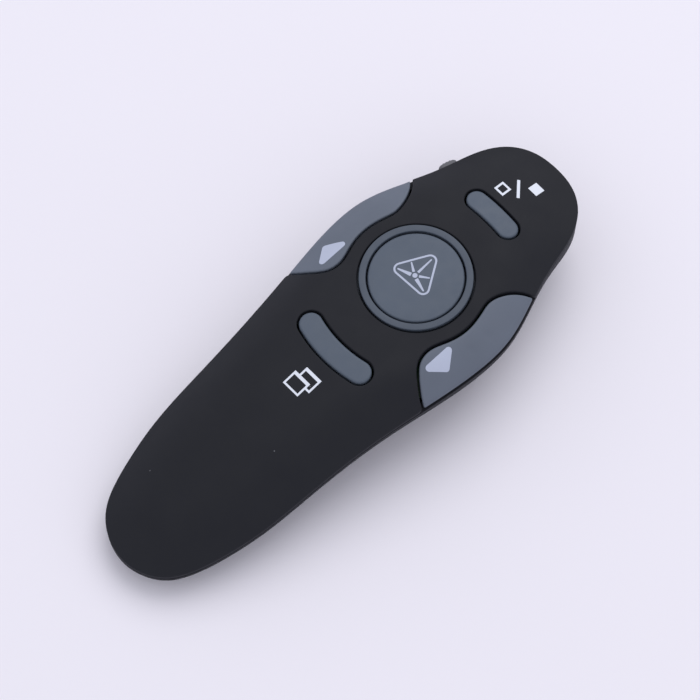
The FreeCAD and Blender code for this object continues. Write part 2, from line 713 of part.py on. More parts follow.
def door_channel(name, clearance, front_gap):
    """A dovetail channel along the underside, open at the tail."""
    body = new_body(name)
    low = "-(sizes.door_half_width + %s)" % clearance
    high = "(sizes.door_half_width + %s)" % clearance
    wide = "(sizes.door_half_width + sizes.door_dovetail + %s)" % clearance
    top = "(sizes.door_thickness + %s)" % clearance
    corners = [(low, "-sizes.overrun"), (high, "-sizes.overrun"), (high, "0"), (wide, top),
               ("-" + wide, top), (low, "0")]
    sketch = polygon(body, name + "_section", "YZ_Plane", corners,
                     "sizes.ring_x + sizes.door_front + %s" % front_gap)
    pad(body, sketch, "sizes.body_length", reverse=True)
    return body


def bay_walls():
    """Walls round the cells and the stored receiver, and the tail's deck."""
    inner = "(sizes.door_half_width + sizes.door_dovetail + sizes.door_clearance)"
    foot = "(sizes.door_thickness / 2)"
    deck_top = "(sizes.door_thickness + sizes.door_clearance + sizes.deck_thickness)"
    length = "(sizes.bay_back + sizes.door_front + sizes.door_clearance)"
    back = "sizes.ring_x - sizes.bay_back"
    width = "2 * (%s + sizes.bay_wall)" % inner
    front = "sizes.ring_x + sizes.door_front + sizes.door_clearance - sizes.bay_wall"
    items = []
    for side, low in (("left", inner), ("right", "-(%s + sizes.bay_wall)" % inner)):
        items.append(box("bay_side_" + side, length, "sizes.bay_wall", "sizes.bay_side_height - " + foot,
                         back, low, foot))
    for name, x, top in (("rear", back, "sizes.bay_height"), ("middle", FRONT_PLATE_X, "sizes.bay_height"),
                         ("front", front, "sizes.bay_side_height")):
        items.append(box("bay_" + name, "sizes.bay_wall", width, "%s - %s" % (top, foot),
                         x, "-%s / 2" % width, foot))
    items.append(box("tail_deck", "sizes.body_length", "2 * sizes.body_width", "%s - %s" % (deck_top, foot),
                     back + " - sizes.body_length + sizes.bay_wall / 2", "-sizes.body_width", foot))
    items.append(cylinder("rear_boss", "sizes.case_boss_radius", "%s - %s" % (REAR_SPLIT, foot),
                          CASE_BACK_X, "0", foot))
    return items


def laser_cradle():
    """A saddle that the laser's barrel lies in."""
    start = "sizes.ring_x + sizes.laser_back"
    block = box("cradle_block", "sizes.cradle_length", "sizes.cradle_width", "sizes.laser_height",
                start + " + sizes.cradle_start", "-sizes.cradle_width / 2", "0")
    barrel = lying_cylinder("barrel_space", "sizes.laser_radius + sizes.screw_gap", "2 * sizes.laser_length",
                            start + " - sizes.overrun", "0", "sizes.laser_height")
    return cut("laser_cradle", block, barrel)


def lying_cylinder(name, radius, length, x, y, z):
    """A cylinder along X."""
    item = doc.addObject("Part::Cylinder", name)
    item.Placement = FreeCAD.Placement(Vector(0, 0, 0), FreeCAD.Rotation(Vector(0, 1, 0), 90))
    bind(item, Radius=radius, Height=length)
    return place(item, x, y, z)


def window_form(name, grow):
    """The window's round-ended outline, run through the nose."""
    body = new_body(name)
    half = "(sizes.window_high - sizes.window_low) / 2"
    middle = "(sizes.window_high + sizes.window_low) / 2"
    straight = "(sizes.window_half_width - %s)" % half
    start = "sizes.body_length / 2 - sizes.window_reach"
    length = "2 * sizes.window_reach"
    bar = rectangle(body, name + "_bar", "YZ_Plane", "-" + straight, straight,
                    "sizes.window_low - %s" % grow, "sizes.window_high + %s" % grow, start)
    pad(body, bar, length)
    for side, sign in SIDES:
        radius = "%s + %s" % (half, grow)
        end = circle(body, name + "_end_" + side, "YZ_Plane", radius, start, sign + straight, middle)
        pad(body, end, length)
    return body


def front_bosses():
    """Bosses of the front case screws, from the underside to the top shell's posts."""
    bosses, holes = [], []
    for side, sign in SIDES:
        y = sign + " sizes.case_screw_side"
        bosses.append(cylinder("case_boss_" + side, "sizes.case_boss_radius", CASE_SPLIT,
                               CASE_FRONT_X, y, "0"))
        holes.append(cylinder("case_hole_" + side, "sizes.case_screw_radius + sizes.screw_gap",
                              "2 * sizes.crown_height", CASE_FRONT_X, y, "-sizes.overrun"))
        sink = "%s - sizes.case_screw_length / 2 + sizes.overrun" % CASE_SPLIT
        holes.append(cylinder("case_sink_" + side, "sizes.case_head_radius + sizes.head_gap", sink,
                              CASE_FRONT_X, y, "-sizes.overrun"))
    holes.append(cylinder("rear_hole", "sizes.case_screw_radius + sizes.screw_gap",
                          "2 * sizes.crown_height", CASE_BACK_X, "0", "-sizes.overrun"))
    holes.append(cylinder("rear_sink", "sizes.case_head_radius + sizes.head_gap",
                          HEAD_TOP + " + sizes.overrun", CASE_BACK_X, "0", "-sizes.overrun"))
    return bosses, holes


def switch_frame(item, along_wall, outward, height):
    """Place a form in the power switch's own frame: along the wall, outward, up."""
    item.Placement = FreeCAD.Placement(Vector(0, 0, 0), FreeCAD.Rotation(Vector(0, 0, 1), 0))
    item.setExpression("Placement.Rotation.Angle", "-sizes.switch_angle * 1deg")
    cosine = "cos(sizes.switch_angle * 1deg)"
    sine = "sin(sizes.switch_angle * 1deg)"
    item.setExpression("Placement.Base.x", "sizes.ring_x + sizes.switch_x + (%s) * %s + (%s) * %s"
                       % (along_wall, cosine, outward, sine))
    item.setExpression("Placement.Base.y", "sizes.switch_edge - (%s) * %s + (%s) * %s"
                       % (along_wall, sine, outward, cosine))
    item.setExpression("Placement.Base.z", height)
    return item


def switch_slot():
    """The slot that the knob's neck slides in."""
    slot = doc.addObject("Part::Box", "switch_slot")
    bind(slot, Length="sizes.knob_neck_length + sizes.switch_travel + 2 * sizes.slot_gap",
         Width="4 * sizes.shell_wall", Height="sizes.knob_neck_height + 2 * sizes.slot_gap")
    return switch_frame(slot, "-sizes.knob_neck_length / 2 - sizes.slot_gap", "-3 * sizes.shell_wall",
                        "sizes.switch_height - sizes.knob_neck_height / 2 - sizes.slot_gap")


def seam_shadow():
    """The thin groove under the parting line, round the whole body."""
    band = cut("seam_band", form("groove_outside", outline_block(-OVERRUN / 2)),
               form("groove_inside", outline_block(size("seam_groove_depth"))))
    above = form("above_groove", ABOVE_SEAM.Shape, "-sizes.seam_groove")
    return common("seam_shadow", band, above)


def make_bottom_shell():
    bosses, holes = front_bosses()
    inner = fuse("bottom_inside_forms", laser_cradle(), *(bosses + bay_walls()))
    kept_inner = common("bottom_inside", inner, whole_body)
    solid = cut("bottom_solid", fuse("bottom_all", body_walls, kept_inner), ABOVE_SEAM)
    window = window_form("window_opening", "sizes.window_gap")
    channel = door_channel("door_channel", "sizes.door_clearance", "sizes.door_clearance")
    shell = cut("bottom_shell", solid, channel, window, switch_slot(), seam_shadow(), *holes)
    shell.Label = "bottom_shell"
    return shell


def make_battery_door():
    """A flat door that slides off the tail, with grooves for the thumb."""
    block = door_channel("door_form", "0", "0")
    lid = box("door_slab", "sizes.door_back + sizes.door_front", "2 * sizes.body_width",
              "2 * sizes.door_thickness", "sizes.ring_x - sizes.door_back", "-sizes.body_width", "0")
    slab = common("door_solid", block, lid, whole_body)
    grooves = []
    for number in range(5):
        x = "sizes.ring_x + sizes.door_front - %d * sizes.door_ridge_pitch" % (number + 5)
        grooves.append(box("thumb_groove_%d" % (number + 1), "sizes.door_ridge_width",
                           "sizes.door_ridge_length", "sizes.door_ridge_depth",
                           x, "-sizes.door_ridge_length / 2", "0"))
    door = cut("battery_door", slab, *grooves)
    door.Label = "battery_door"
    return door


# Keys

def key_solid(name, outlines, keep_inside, x, y):
    """A hollow key that follows the crown, with a flange and a stem."""
    tall = "2 * sizes.crown_height"
    column, flange_column, hollow_column = [
        extruded("%s_%s_column" % (name, part), outline, tall)
        for part, outline in zip(("plate", "flange", "hollow"), outlines)]
    under = form(name + "_under", BODY_ROOF.Shape, "-sizes.key_clearance - sizes.key_flange_thickness")
    flange_top = form(name + "_flange_top", BODY_ROOF.Shape, "-sizes.key_clearance")
    hollow_top = form(name + "_hollow_top", BODY_TOP.Shape, "-sizes.key_wall")
    kept, flange_kept, hollow_kept = keep_inside
    plate = cut(name + "_plate", common(name + "_plug", column, BODY_TOP, *kept), under)
    flange_plug = common(name + "_flange_plug", flange_column, flange_top, *flange_kept)
    flange = cut(name + "_flange", flange_plug, under)
    space = common(name + "_space", hollow_column, hollow_top, *hollow_kept)
    stem_column = cylinder(name + "_stem_column", "sizes.stem_radius", tall, x, y, PLUNGER_TOP)
    stem = common(name + "_stem", stem_column, form(name + "_stem_top", BODY_TOP.Shape, "-sizes.key_wall / 2"))
    key = fuse(name, cut(name + "_shell", fuse(name + "_outer", plate, flange), space), stem)
    key.Label = name
    return key


def key_amounts():
    """How far each part of a key is let out from the key's own outline."""
    return (("plate", 0.0), ("flange", size("key_flange")), ("hollow", -size("key_wall")))


def make_page_keys():
    """Two mirrored page keys, whose outer edge stops above the parting line."""
    above = form("above_key_edge", ABOVE_SEAM.Shape, "sizes.key_travel + sizes.key_clearance")
    rim = form("key_rim", outline_block(size("key_inset")))
    behind_wall = size("shell_wall") + size("key_gap")
    flange_rim = form("key_flange_rim", outline_block(behind_wall))
    hollow_rim = form("key_hollow_rim", outline_block(behind_wall + size("key_wall")))
    x = "sizes.ring_x - sizes.page_switch_back"
    outlines = [page_key_outline("page_%s_outline" % part, amount) for part, amount in key_amounts()]
    left = key_solid("page_back_key", outlines, ([rim, above], [flange_rim], [hollow_rim]),
                     x, "sizes.page_switch_side")
    right = mirrored("page_forward_key", left)
    right.Label = "page_forward_key"
    return [left, right]


def make_small_keys():
    arc_outlines = [arc_key_outline("arc_%s_outline" % part, amount) for part, amount in key_amounts()]
    bar_outlines = [bar_key_outline("bar_%s_outline" % part, amount) for part, amount in key_amounts()]
    nothing = ([], [], [])
    arc = key_solid("slideshow_key", arc_outlines, nothing, "sizes.ring_x - sizes.arc_key_x", "0")
    bar = key_solid("black_screen_key", bar_outlines, nothing, "sizes.ring_x + sizes.bar_key_x", "0")
    return [arc, bar]


CAP_RADIUS = "(sizes.ring_radius - sizes.ring_width - sizes.cap_gap)"
CAP_FLANGE_TOP = "(sizes.ring_seat_depth + sizes.ring_flange_thickness + sizes.key_clearance)"
CAP_FLOOR = "(%s + sizes.cap_flange_thickness)" % CAP_FLANGE_TOP


def make_bezel():
    """A fixed ring with a flange that sits under the top shell's collar."""
    body = new_body("laser_button_bezel")
    inner = "sizes.ring_radius - sizes.ring_width"
    outer = "sizes.ring_radius"
    seat = "-sizes.ring_seat_depth"
    foot = "-sizes.ring_seat_depth - sizes.ring_flange_thickness"
    corners = [(inner, foot), ("sizes.ring_radius + sizes.ring_flange", foot),
               ("sizes.ring_radius + sizes.ring_flange", seat), (outer, seat), (outer, "0"),
               ("sizes.ring_radius - sizes.ring_rise", "sizes.ring_rise"),
               ("sizes.ring_radius - sizes.ring_width + sizes.ring_rise / 2", "sizes.ring_rise"),
               (inner, "sizes.ring_rise / 2")]
    revolve(body, polygon(body, "bezel_section", "XZ_Plane", corners))
    return on_ring(body, "0")


def make_laser_button():
    """A round cap with a low crown and a flange under the bezel."""
    body = new_body("laser_button")
    flange_top = "-" + CAP_FLANGE_TOP
    flange_radius = CAP_RADIUS + " + sizes.cap_flange + sizes.cap_gap"
    corners = [("0", "-" + CAP_FLOOR), (flange_radius, "-" + CAP_FLOOR), (flange_radius, flange_top),
               (CAP_RADIUS, flange_top), (CAP_RADIUS, "-sizes.cap_crown / 2"),
               (CAP_RADIUS + " - sizes.cap_crown", "0.05 * sizes.cap_crown"),
               (CAP_RADIUS + " * 0.8", "0.45 * sizes.cap_crown"),
               (CAP_RADIUS + " * 0.55", "0.8 * sizes.cap_crown"),
               (CAP_RADIUS + " * 0.3", "0.95 * sizes.cap_crown"), ("0", "sizes.cap_crown")]
    revolve(body, polygon(body, "cap_section", "XZ_Plane", corners))
    on_ring(body, "0")
    stem_length = "sizes.crown_height - %s - 0.9 * %s" % (PLUNGER_TOP, CAP_FLOOR)
    stem = cylinder("laser_stem", "sizes.stem_radius", stem_length, "sizes.ring_x", "0", PLUNGER_TOP)
    button = fuse("laser_button_solid", body, stem)
    body.Label = "laser_button_cap"
    button.Label = "laser_button"
    return button


# The board and what is on it

def make_board():
    """A board that follows the body, with a notch for the laser and holes for posts."""
    inner = form("board_outline", outline_block(size("board_inset")))
    slab = box("board_slab", "sizes.board_back + sizes.board_front", "2 * sizes.body_width",
               "sizes.board_thickness", "sizes.ring_x - sizes.board_back", "-sizes.body_width",
               "sizes.board_height")
    half = "(sizes.cradle_width / 2 + sizes.board_notch_gap)"
    notch = box("board_notch", "sizes.body_length", "2 * " + half, "2 * sizes.crown_height",
                "sizes.ring_x + sizes.board_notch_front", "-" + half, "0")
    holes = []
    for side, sign in SIDES:
        holes.append(cylinder("board_case_hole_" + side, "sizes.case_boss_radius + sizes.head_gap",
                              "2 * sizes.crown_height", CASE_FRONT_X, sign + " sizes.case_screw_side", "0"))
        holes.append(cylinder("board_screw_hole_" + side, "sizes.board_screw_radius + sizes.screw_gap",
                              "2 * sizes.crown_height", BOARD_SCREW_X, sign + " sizes.board_screw_side", "0"))
    board = cut("main_board", common("board_blank", slab, inner, INSIDE), notch, *holes)
    board.Label = "main_board"
    return board


def make_tact(name, x, y):
    """A tact switch body and the plunger that the key presses."""
    half = "sizes.tact_side / 2"
    body = new_body("tact_switch_" + name)
    pad(body, rectangle(body, "tact_base_" + name, "XY_Plane", "-" + half, half, "-" + half, half),
        "sizes.tact_body_height")
    bore = circle(body, "tact_bore_" + name, "XY_Plane", "sizes.tact_plunger_radius + sizes.tact_bore_gap",
                  "sizes.tact_body_height")
    pocket(body, bore, "sizes.tact_bore_depth")
    place(body, x, y, BOARD_TOP)
    plunger = new_body("tact_plunger_" + name)
    pad(plunger, circle(plunger, "plunger_rod_" + name, "XY_Plane", "sizes.tact_plunger_radius"),
        "sizes.tact_plunger_rise + sizes.tact_plunger_sunk")
    place(plunger, x, y, BOARD_TOP + " + sizes.tact_body_height - sizes.tact_plunger_sunk")
    return [body, plunger]


def make_tacts():
    page_x = "sizes.ring_x - sizes.page_switch_back"
    spots = [("laser", "sizes.ring_x", "0"), ("page_back", page_x, "sizes.page_switch_side"),
             ("page_forward", page_x, "-sizes.page_switch_side"),
             ("slideshow", "sizes.ring_x - sizes.arc_key_x", "0"),
             ("black_screen", "sizes.ring_x + sizes.bar_key_x", "0")]
    return [piece for spot in spots for piece in make_tact(*spot)]


def make_chip(name, length, width, height, x, y):
    body = new_body(name)
    reach, across = length + " / 2", width + " / 2"
    pad(body, rectangle(body, name + "_plan", "XY_Plane", "-" + reach, reach, "-" + across, across), height)
    return place(body, x, y, BOARD_TOP)


def make_chips():
    x = "sizes.ring_x - sizes.radio_chip_back"
    return [make_chip("radio_chip", "sizes.radio_chip_side", "sizes.radio_chip_side",
                      "sizes.radio_chip_height", x, "sizes.radio_chip_side_offset"),
            make_chip("crystal", "sizes.crystal_length", "sizes.crystal_width", "sizes.crystal_height",
                      x, "-sizes.crystal_offset")]


# Power switch

def make_knob():
    """The knob outside the wall, its neck, and the flange behind the wall."""
    body = new_body("power_switch_knob")
    half = "sizes.knob_length / 2"
    tall = "sizes.knob_height / 2"
    corners = [("-" + half, "sizes.knob_lift"), (half, "sizes.knob_lift"),
               (half + " - 0.35 * sizes.knob_bevel", "sizes.knob_proud - sizes.knob_bevel"),
               (half + " - sizes.knob_bevel", "sizes.knob_proud"),
               ("-%s + sizes.knob_bevel" % half, "sizes.knob_proud"),
               ("-%s + 0.35 * sizes.knob_bevel" % half, "sizes.knob_proud - sizes.knob_bevel")]
    pad(body, polygon(body, "knob_plan", "XY_Plane", corners, "-" + tall), "sizes.knob_height")
    inward = "-(sizes.shell_wall + sizes.knob_lift * 2)"
    neck_half = "sizes.knob_neck_length / 2"
    neck = rectangle(body, "knob_neck", "XY_Plane", "-" + neck_half, neck_half,
                     inward, "sizes.knob_lift * 2", "-sizes.knob_neck_height / 2")
    pad(body, neck, "sizes.knob_neck_height")
    flange = rectangle(body, "knob_flange", "XY_Plane", "-sizes.knob_flange_length / 2",
                       "sizes.knob_flange_length / 2", inward + " - sizes.knob_flange_thickness", inward,
                       "-sizes.knob_flange_height / 2")
    pad(body, flange, "sizes.knob_flange_height")
    lever = rectangle(body, "knob_lever", "XY_Plane", "-" + neck_half, neck_half,
                      inward + " - sizes.knob_flange_thickness - sizes.switch_body_setback", inward,
                      "-sizes.knob_neck_height / 2")
    pad(body, lever, "sizes.knob_neck_height")
    return switch_frame(body, "0", "0", "sizes.switch_height")


def make_switch_body():
    """The slide switch on the board, with a slot for the knob's lever."""
    body = new_body("power_switch_body")
    flange_back = "sizes.shell_wall + sizes.knob_lift * 2 + sizes.knob_flange_thickness"
    face = "-(%s + sizes.switch_body_setback / 2)" % flange_back
    back = face + " - sizes.switch_body_depth"
    shift = "sizes.switch_travel / 2"
    plan = rectangle(body, "switch_case", "XY_Plane", "%s - sizes.switch_body_length / 2" % shift,
                     "%s + sizes.switch_body_length / 2" % shift, back, face)
    pad(body, plan, "sizes.switch_body_height")
    gap = "sizes.slot_gap"
    slot = rectangle(body, "switch_lever_slot", "XY_Plane", "-sizes.knob_neck_length / 2 - " + gap,
                     "sizes.knob_neck_length / 2 + sizes.switch_travel + " + gap,
                     face + " - sizes.switch_body_setback / 2 - " + gap, face + " + sizes.overrun",
                     "sizes.switch_height - sizes.knob_neck_height / 2 - %s - %s" % (BOARD_TOP, gap))
    pocket(body, slot, "sizes.knob_neck_height + 2 * " + gap, reverse=True)
    return switch_frame(body, "0", "0", BOARD_TOP)


# Laser and window

def turned_along_x(label, corners, x):
    """A round piece about the laser's axis, its section given from the rear."""
    body = new_body(label)
    revolve(body, polygon(body, label + "_section", "XZ_Plane", corners), "H_Axis")
    return place(body, x, "0", "sizes.laser_height")


def make_laser():
    rear = "sizes.ring_x + sizes.laser_back"
    length, radius, bore = "sizes.laser_length", "sizes.laser_radius", "sizes.laser_bore"
    barrel = turned_along_x("laser_barrel", [
        ("0", bore), ("0", radius), (length + " - 0.3 * sizes.laser_lens_setback", radius),
        (length, radius + " - 0.3 * sizes.laser_lens_setback"), (length, bore)], rear)
    inner = bore + " - sizes.laser_fit"
    lens_front = "%s - sizes.laser_lens_setback" % length
    lens = turned_along_x("laser_lens", [
        (lens_front + " - sizes.laser_lens_length", "0"), (lens_front + " - sizes.laser_lens_length", inner),
        (lens_front + " - 0.4 * sizes.laser_lens_length", inner),
        (lens_front + " - 0.1 * sizes.laser_lens_length", inner + " * 0.6"), (lens_front, "0")], rear)
    diode = turned_along_x("laser_diode", [
        ("-0.4 * sizes.laser_diode_length", "0"), ("-0.4 * sizes.laser_diode_length", inner + " * 0.8"),
        ("0", inner + " * 0.8"), ("0", inner), ("0.6 * sizes.laser_diode_length", inner),
        ("0.6 * sizes.laser_diode_length", "0")], rear)
    return [barrel, lens, diode]


def make_window():
    """A dark insert that fills the nose's opening, with a flange behind the wall."""
    pane = cut("window_pane_form", form("window_outside", outline_block(-size("window_proud"))),
               form("window_back", outline_block(size("shell_wall") + size("window_flange_thickness"))))
    wide = window_form("window_flange_shape", "sizes.window_flange")
    shape = window_form("window_shape", "0")
    behind = form("window_behind", outline_block(size("shell_wall") + size("screw_gap")))
    roof = form("window_roof", BODY_ROOF.Shape, "-sizes.key_clearance")
    floor = form("window_floor", BODY_UNDER.Shape, "sizes.shell_wall + sizes.key_clearance")
    flange = common("window_flange_solid", pane, wide, behind, roof, floor)
    window = fuse("front_window", common("window_solid", pane, shape), flange)
    window.Label = "front_window"
    return window


# Cells and contacts

def make_cell(label, points_forward):
    """A cylindrical cell with rolled edges and a nub."""
    body = new_body(label)
    can = "(sizes.cell_length - sizes.cell_nub_length)"
    corners = [("0", "0"), ("0", "sizes.cell_radius - sizes.cell_bevel"),
               ("sizes.cell_bevel / 2", "sizes.cell_radius"),
               (can + " - sizes.cell_bevel / 2", "sizes.cell_radius"),
               (can, "sizes.cell_radius - sizes.cell_bevel"),
               (can, "sizes.cell_nub_radius"), ("sizes.cell_length", "sizes.cell_nub_radius"),
               ("sizes.cell_length", "0")]
    revolve(body, polygon(body, label + "_section", "XZ_Plane", corners), "H_Axis")
    if points_forward:
        x = FRONT_PLATE_X + " - sizes.contact_thickness - sizes.contact_dimple - sizes.cell_length"
        return place(body, x, "sizes.cell_spread", CELL_Z)
    body.Placement = FreeCAD.Placement(Vector(0, 0, 0), FreeCAD.Rotation(Vector(0, 0, 1), 180))
    x = REAR_PLATE_X + " + sizes.contact_thickness + sizes.contact_dimple + sizes.cell_length"
    return place(body, x, "-sizes.cell_spread", CELL_Z)


def biarc(start, start_run, end, end_run):
    """Two arcs that join two points with given directions."""
    chord = end - start
    run = start_run + end_run
    a = 2 * (start_run.dot(end_run) - 1)
    b = -2 * chord.dot(run)
    c = chord.dot(chord)
    reach = (-b - math.sqrt(b * b - 4 * a * c)) / (2 * a)
    first = start + start_run * reach
    second = end - end_run * reach
    joint = (first + second) * 0.5
    arcs = []
    for low, corner, high in ((start, first, joint), (joint, second, end)):
        middle = (low + high) * 0.5
        half = (high - low).Length / 2
        lift = corner - middle
        turn = math.atan2(lift.Length, half)
        lift.normalize()
        arcs.append(Part.Arc(low, middle + lift * half * math.tan(turn / 2), high).toShape())
    return arcs


def coil(base_radius, tip_radius, length, turns, wire_radius):
    """A cone-shaped coil spring along X, as one unbroken tube, and its least gap to itself."""
    def at(turn):
        share = turn / turns
        radius = base_radius + (tip_radius - base_radius) * share
        angle = 2 * math.pi * turn
        return Vector(length * share, radius * math.cos(angle), radius * math.sin(angle))

    def direction(turn):
        step = 0.001
        run = at(turn + step) - at(turn - step)
        run.normalize()
        return run

    edges = []
    quarters = 4 * turns
    for quarter in range(quarters):
        low, high = quarter / 4.0, (quarter + 1) / 4.0
        edges += biarc(at(low), direction(low), at(high), direction(high))
    path = Part.Wire(edges)
    ring = Part.Wire([Part.Circle(at(0), direction(0), wire_radius).toShape()])
    shell = path.makePipeShell([ring], True, False)
    places = [at(step / 40.0) for step in range(40 * turns + 1)]
    count = len(places)
    gap = min((places[i] - places[j]).Length for i in range(count) for j in range(i + 20, count))
    return shell, gap - 2 * wire_radius


def contact_plate(label, width, y):
    """A flat plate that stands across the bay."""
    body = new_body(label)
    half = "(%s) / 2" % width
    plate = rectangle(body, label + "_face", "YZ_Plane", "%s - %s" % (y, half), "%s + %s" % (y, half),
                      "sizes.door_thickness + sizes.contact_foot", "sizes.contact_top")
    pad(body, plate, "sizes.contact_thickness")
    return body


def dimple(body, name, side, y):
    """A low boss on a plate, which meets a cell's nub."""
    start = "sizes.contact_thickness" if side > 0 else "0"
    knob = circle(body, name, "YZ_Plane", "sizes.contact_dimple_radius", start, y, CELL_Z)
    pad(body, knob, "sizes.contact_dimple", reverse=side < 0)
    return body


def spring_form(name, x, y, backwards):
    turns = 4
    length = size("spring_length") - 2 * size("spring_wire_radius")
    shape, gap = coil(size("spring_base_radius"), size("spring_tip_radius"), length, turns,
                      size("spring_wire_radius"))
    print("%s: least gap of the wire to itself %.2f mm" % (name, gap))
    item = form(name, shape)
    turn = FreeCAD.Rotation(Vector(0, 0, 1), 180 if backwards else 0)
    item.Placement = FreeCAD.Placement(Vector(0, 0, 0), turn)
    return place(item, x, y, CELL_Z)


def make_contacts():
    front = FRONT_PLATE_X + " - sizes.contact_thickness"
    positive = contact_plate("positive_contact", "sizes.contact_width", "sizes.cell_spread")
    dimple(positive, "positive_dimple", -1, "sizes.cell_spread")
    place(positive, front)
    negative_plate = contact_plate("negative_plate", "sizes.contact_width", "-sizes.cell_spread")
    place(negative_plate, front)
    sunk = "sizes.spring_wire_radius * 0.8"
    spring = spring_form("negative_spring", "%s - %s" % (front, sunk), "-sizes.cell_spread", True)
    negative = fuse("negative_contact", negative_plate, spring)
    bridge_plate = contact_plate("bridge_plate", "2 * sizes.cell_spread + sizes.contact_width", "0")
    dimple(bridge_plate, "bridge_dimple", 1, "-sizes.cell_spread")
    place(bridge_plate, REAR_PLATE_X)
    rear_spring = spring_form("bridge_spring", "%s + sizes.contact_thickness + %s" % (REAR_PLATE_X, sunk),
                              "sizes.cell_spread", False)
    bridge = fuse("bridge_contact", bridge_plate, rear_spring)
    negative.Label = "negative_contact"
    bridge.Label = "bridge_contact"
    return [positive, negative, bridge]


# Stored receiver

def make_receiver():
    """The radio receiver, stored crosswise in front of the cells."""
    gap = "sizes.receiver_clearance"
    x = FRONT_PLATE_X + " + sizes.bay_wall + " + gap
    low = "sizes.door_thickness + " + gap
    whole = "(sizes.receiver_grip + sizes.receiver_plug_length)"
    grip = box("receiver_grip_block", "sizes.receiver_width", "sizes.receiver_grip", "sizes.receiver_height",
               x, whole + " / 2 - sizes.receiver_grip", low)
    housing = doc.addObject("Part::Fillet", "usb_receiver_housing")
    housing.Base = grip
    doc.recompute()
    outer_edges = []
    for number, edge in enumerate(grip.Shape.Edges, start=1):
        ends = [vertex.Point.y for vertex in edge.Vertexes]
        if max(ends) - min(ends) > size("receiver_grip") / 2 or min(ends) > grip.Shape.CenterOfMass.y:
            outer_edges.append((number, size("receiver_clearance") * 2, size("receiver_clearance") * 2))
    housing.Edges = outer_edges
    housing.Label = "usb_receiver_housing"
    side = "(sizes.receiver_width - sizes.receiver_plug_width) / 2"
    lift = "(sizes.receiver_height - sizes.receiver_plug_height) / 2"
    tube = box("receiver_tube", "sizes.receiver_plug_width", "sizes.receiver_plug_length",
               "sizes.receiver_plug_height", "%s + %s" % (x, side), "-%s / 2" % whole, "%s + %s" % (low, lift))
    wall = "sizes.receiver_plug_wall"
    bore = box("receiver_bore", "sizes.receiver_plug_width - 2 * " + wall,
               "sizes.receiver_plug_length - " + wall, "sizes.receiver_plug_height - 2 * " + wall,
               "%s + %s + %s" % (x, side, wall), "-%s / 2" % whole, "%s + %s + %s" % (low, lift, wall))
    plug = cut("usb_receiver_plug", tube, bore)
    plug.Label = "usb_receiver_plug"
    tongue = box("usb_receiver_tongue", "sizes.receiver_plug_width - 2 * " + wall,
                 "sizes.receiver_plug_length - 3 * " + wall, "sizes.receiver_tongue_height",
                 "%s + %s + %s" % (x, side, wall), "-%s / 2 + 2 * %s" % (whole, wall),
                 "%s + %s + %s" % (low, lift, wall))
    tongue.Label = "usb_receiver_tongue"
    return [housing, plug, tongue]


# Screws

def screw(name, head_radius, head_height, radius, length):
    """A pan-head screw with its point up, standing on the origin at the head's underside."""
    body = new_body(name)
    corners = [("0", "-" + head_height), (head_radius + " * 0.8", "-" + head_height),
               (head_radius, "-%s * 0.6" % head_height), (head_radius, "0"), (radius, "0"),
               (radius, length + " - " + radius), ("0", length)]
    revolve(body, polygon(body, name + "_section", "XZ_Plane", corners))
    arm, half = "0.6 * " + head_radius, "sizes.screw_slot_width / 2"
    for number, (reach, across) in enumerate(((arm, half), (half, arm))):
        slot = rectangle(body, "%s_slot_%d" % (name, number + 1), "XY_Plane", "-" + reach, reach,
                         "-" + across, across, "-" + head_height)
        pocket(body, slot, "sizes.screw_slot_depth", reverse=True)
    return body


def make_screws():
    case = []
    head_z = "%s - sizes.case_screw_length / 2" % CASE_SPLIT
    for side, sign in SIDES:
        item = screw("case_screw_" + side, "sizes.case_head_radius", "sizes.case_head_height",
                     "sizes.case_screw_radius", "sizes.case_screw_length")
        case.append(place(item, CASE_FRONT_X, sign + " sizes.case_screw_side", head_z))
    item = screw("case_screw_rear", "sizes.case_head_radius", "sizes.case_head_height",
                 "sizes.case_screw_radius", "sizes.rear_screw_length")
    case.append(place(item, CASE_BACK_X, "0", HEAD_TOP))
    board = []
    for side, sign in SIDES:
        item = screw("board_screw_" + side, "sizes.board_head_radius", "sizes.board_head_height",
                     "sizes.board_screw_radius", "sizes.board_screw_length")
        board.append(place(item, BOARD_SCREW_X, sign + " sizes.board_screw_side", "sizes.board_height"))
    groups = []
    for name, members in (("case_screws", case), ("board_screws", board)):
        group = doc.addObject("Part::Compound", name)
        group.Links = members
        group.Label = name
        groups.append(group)
    return groups


pieces = [make_top_shell(), make_bottom_shell(), make_battery_door(), make_bezel(), make_laser_button()]
pieces += make_page_keys() + make_small_keys()
pieces += [make_knob(), make_switch_body(), make_window(), make_board()]
pieces += make_tacts() + make_chips() + make_laser()
pieces += [make_cell("cell_left", True), make_cell("cell_right", False)]
pieces += make_contacts() + make_receiver() + make_screws()
doc.recompute()

for item in doc.Objects:
    if "Invalid" in item.State or "Error" in item.State:
        raise RuntimeError("%s failed: %s" % (item.Label, item.State))
for piece in pieces:
    if piece.Shape.isNull() or not piece.Shape.isValid() or not piece.Shape.Solids:
        raise RuntimeError("%s has no sound shape" % piece.Label)
for piece in pieces:
    piece.Shape.exportStep(os.path.join("parts", piece.Label + ".step"))
    bounds = piece.Shape.BoundBox
    print("%-24s solids %d volume %9.2f  x %7.2f %7.2f  y %7.2f %7.2f  z %6.2f %6.2f" % (
        piece.Label, len(piece.Shape.Solids), piece.Shape.Volume, bounds.XMin, bounds.XMax,
        bounds.YMin, bounds.YMax, bounds.ZMin, bounds.ZMax))
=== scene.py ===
import json
import math

import bmesh
import bpy
import numpy as np
from bpy.props import FloatProperty, FloatVectorProperty, PointerProperty
from mathutils import Matrix, Vector
from mathutils.geometry import delaunay_2d_cdt


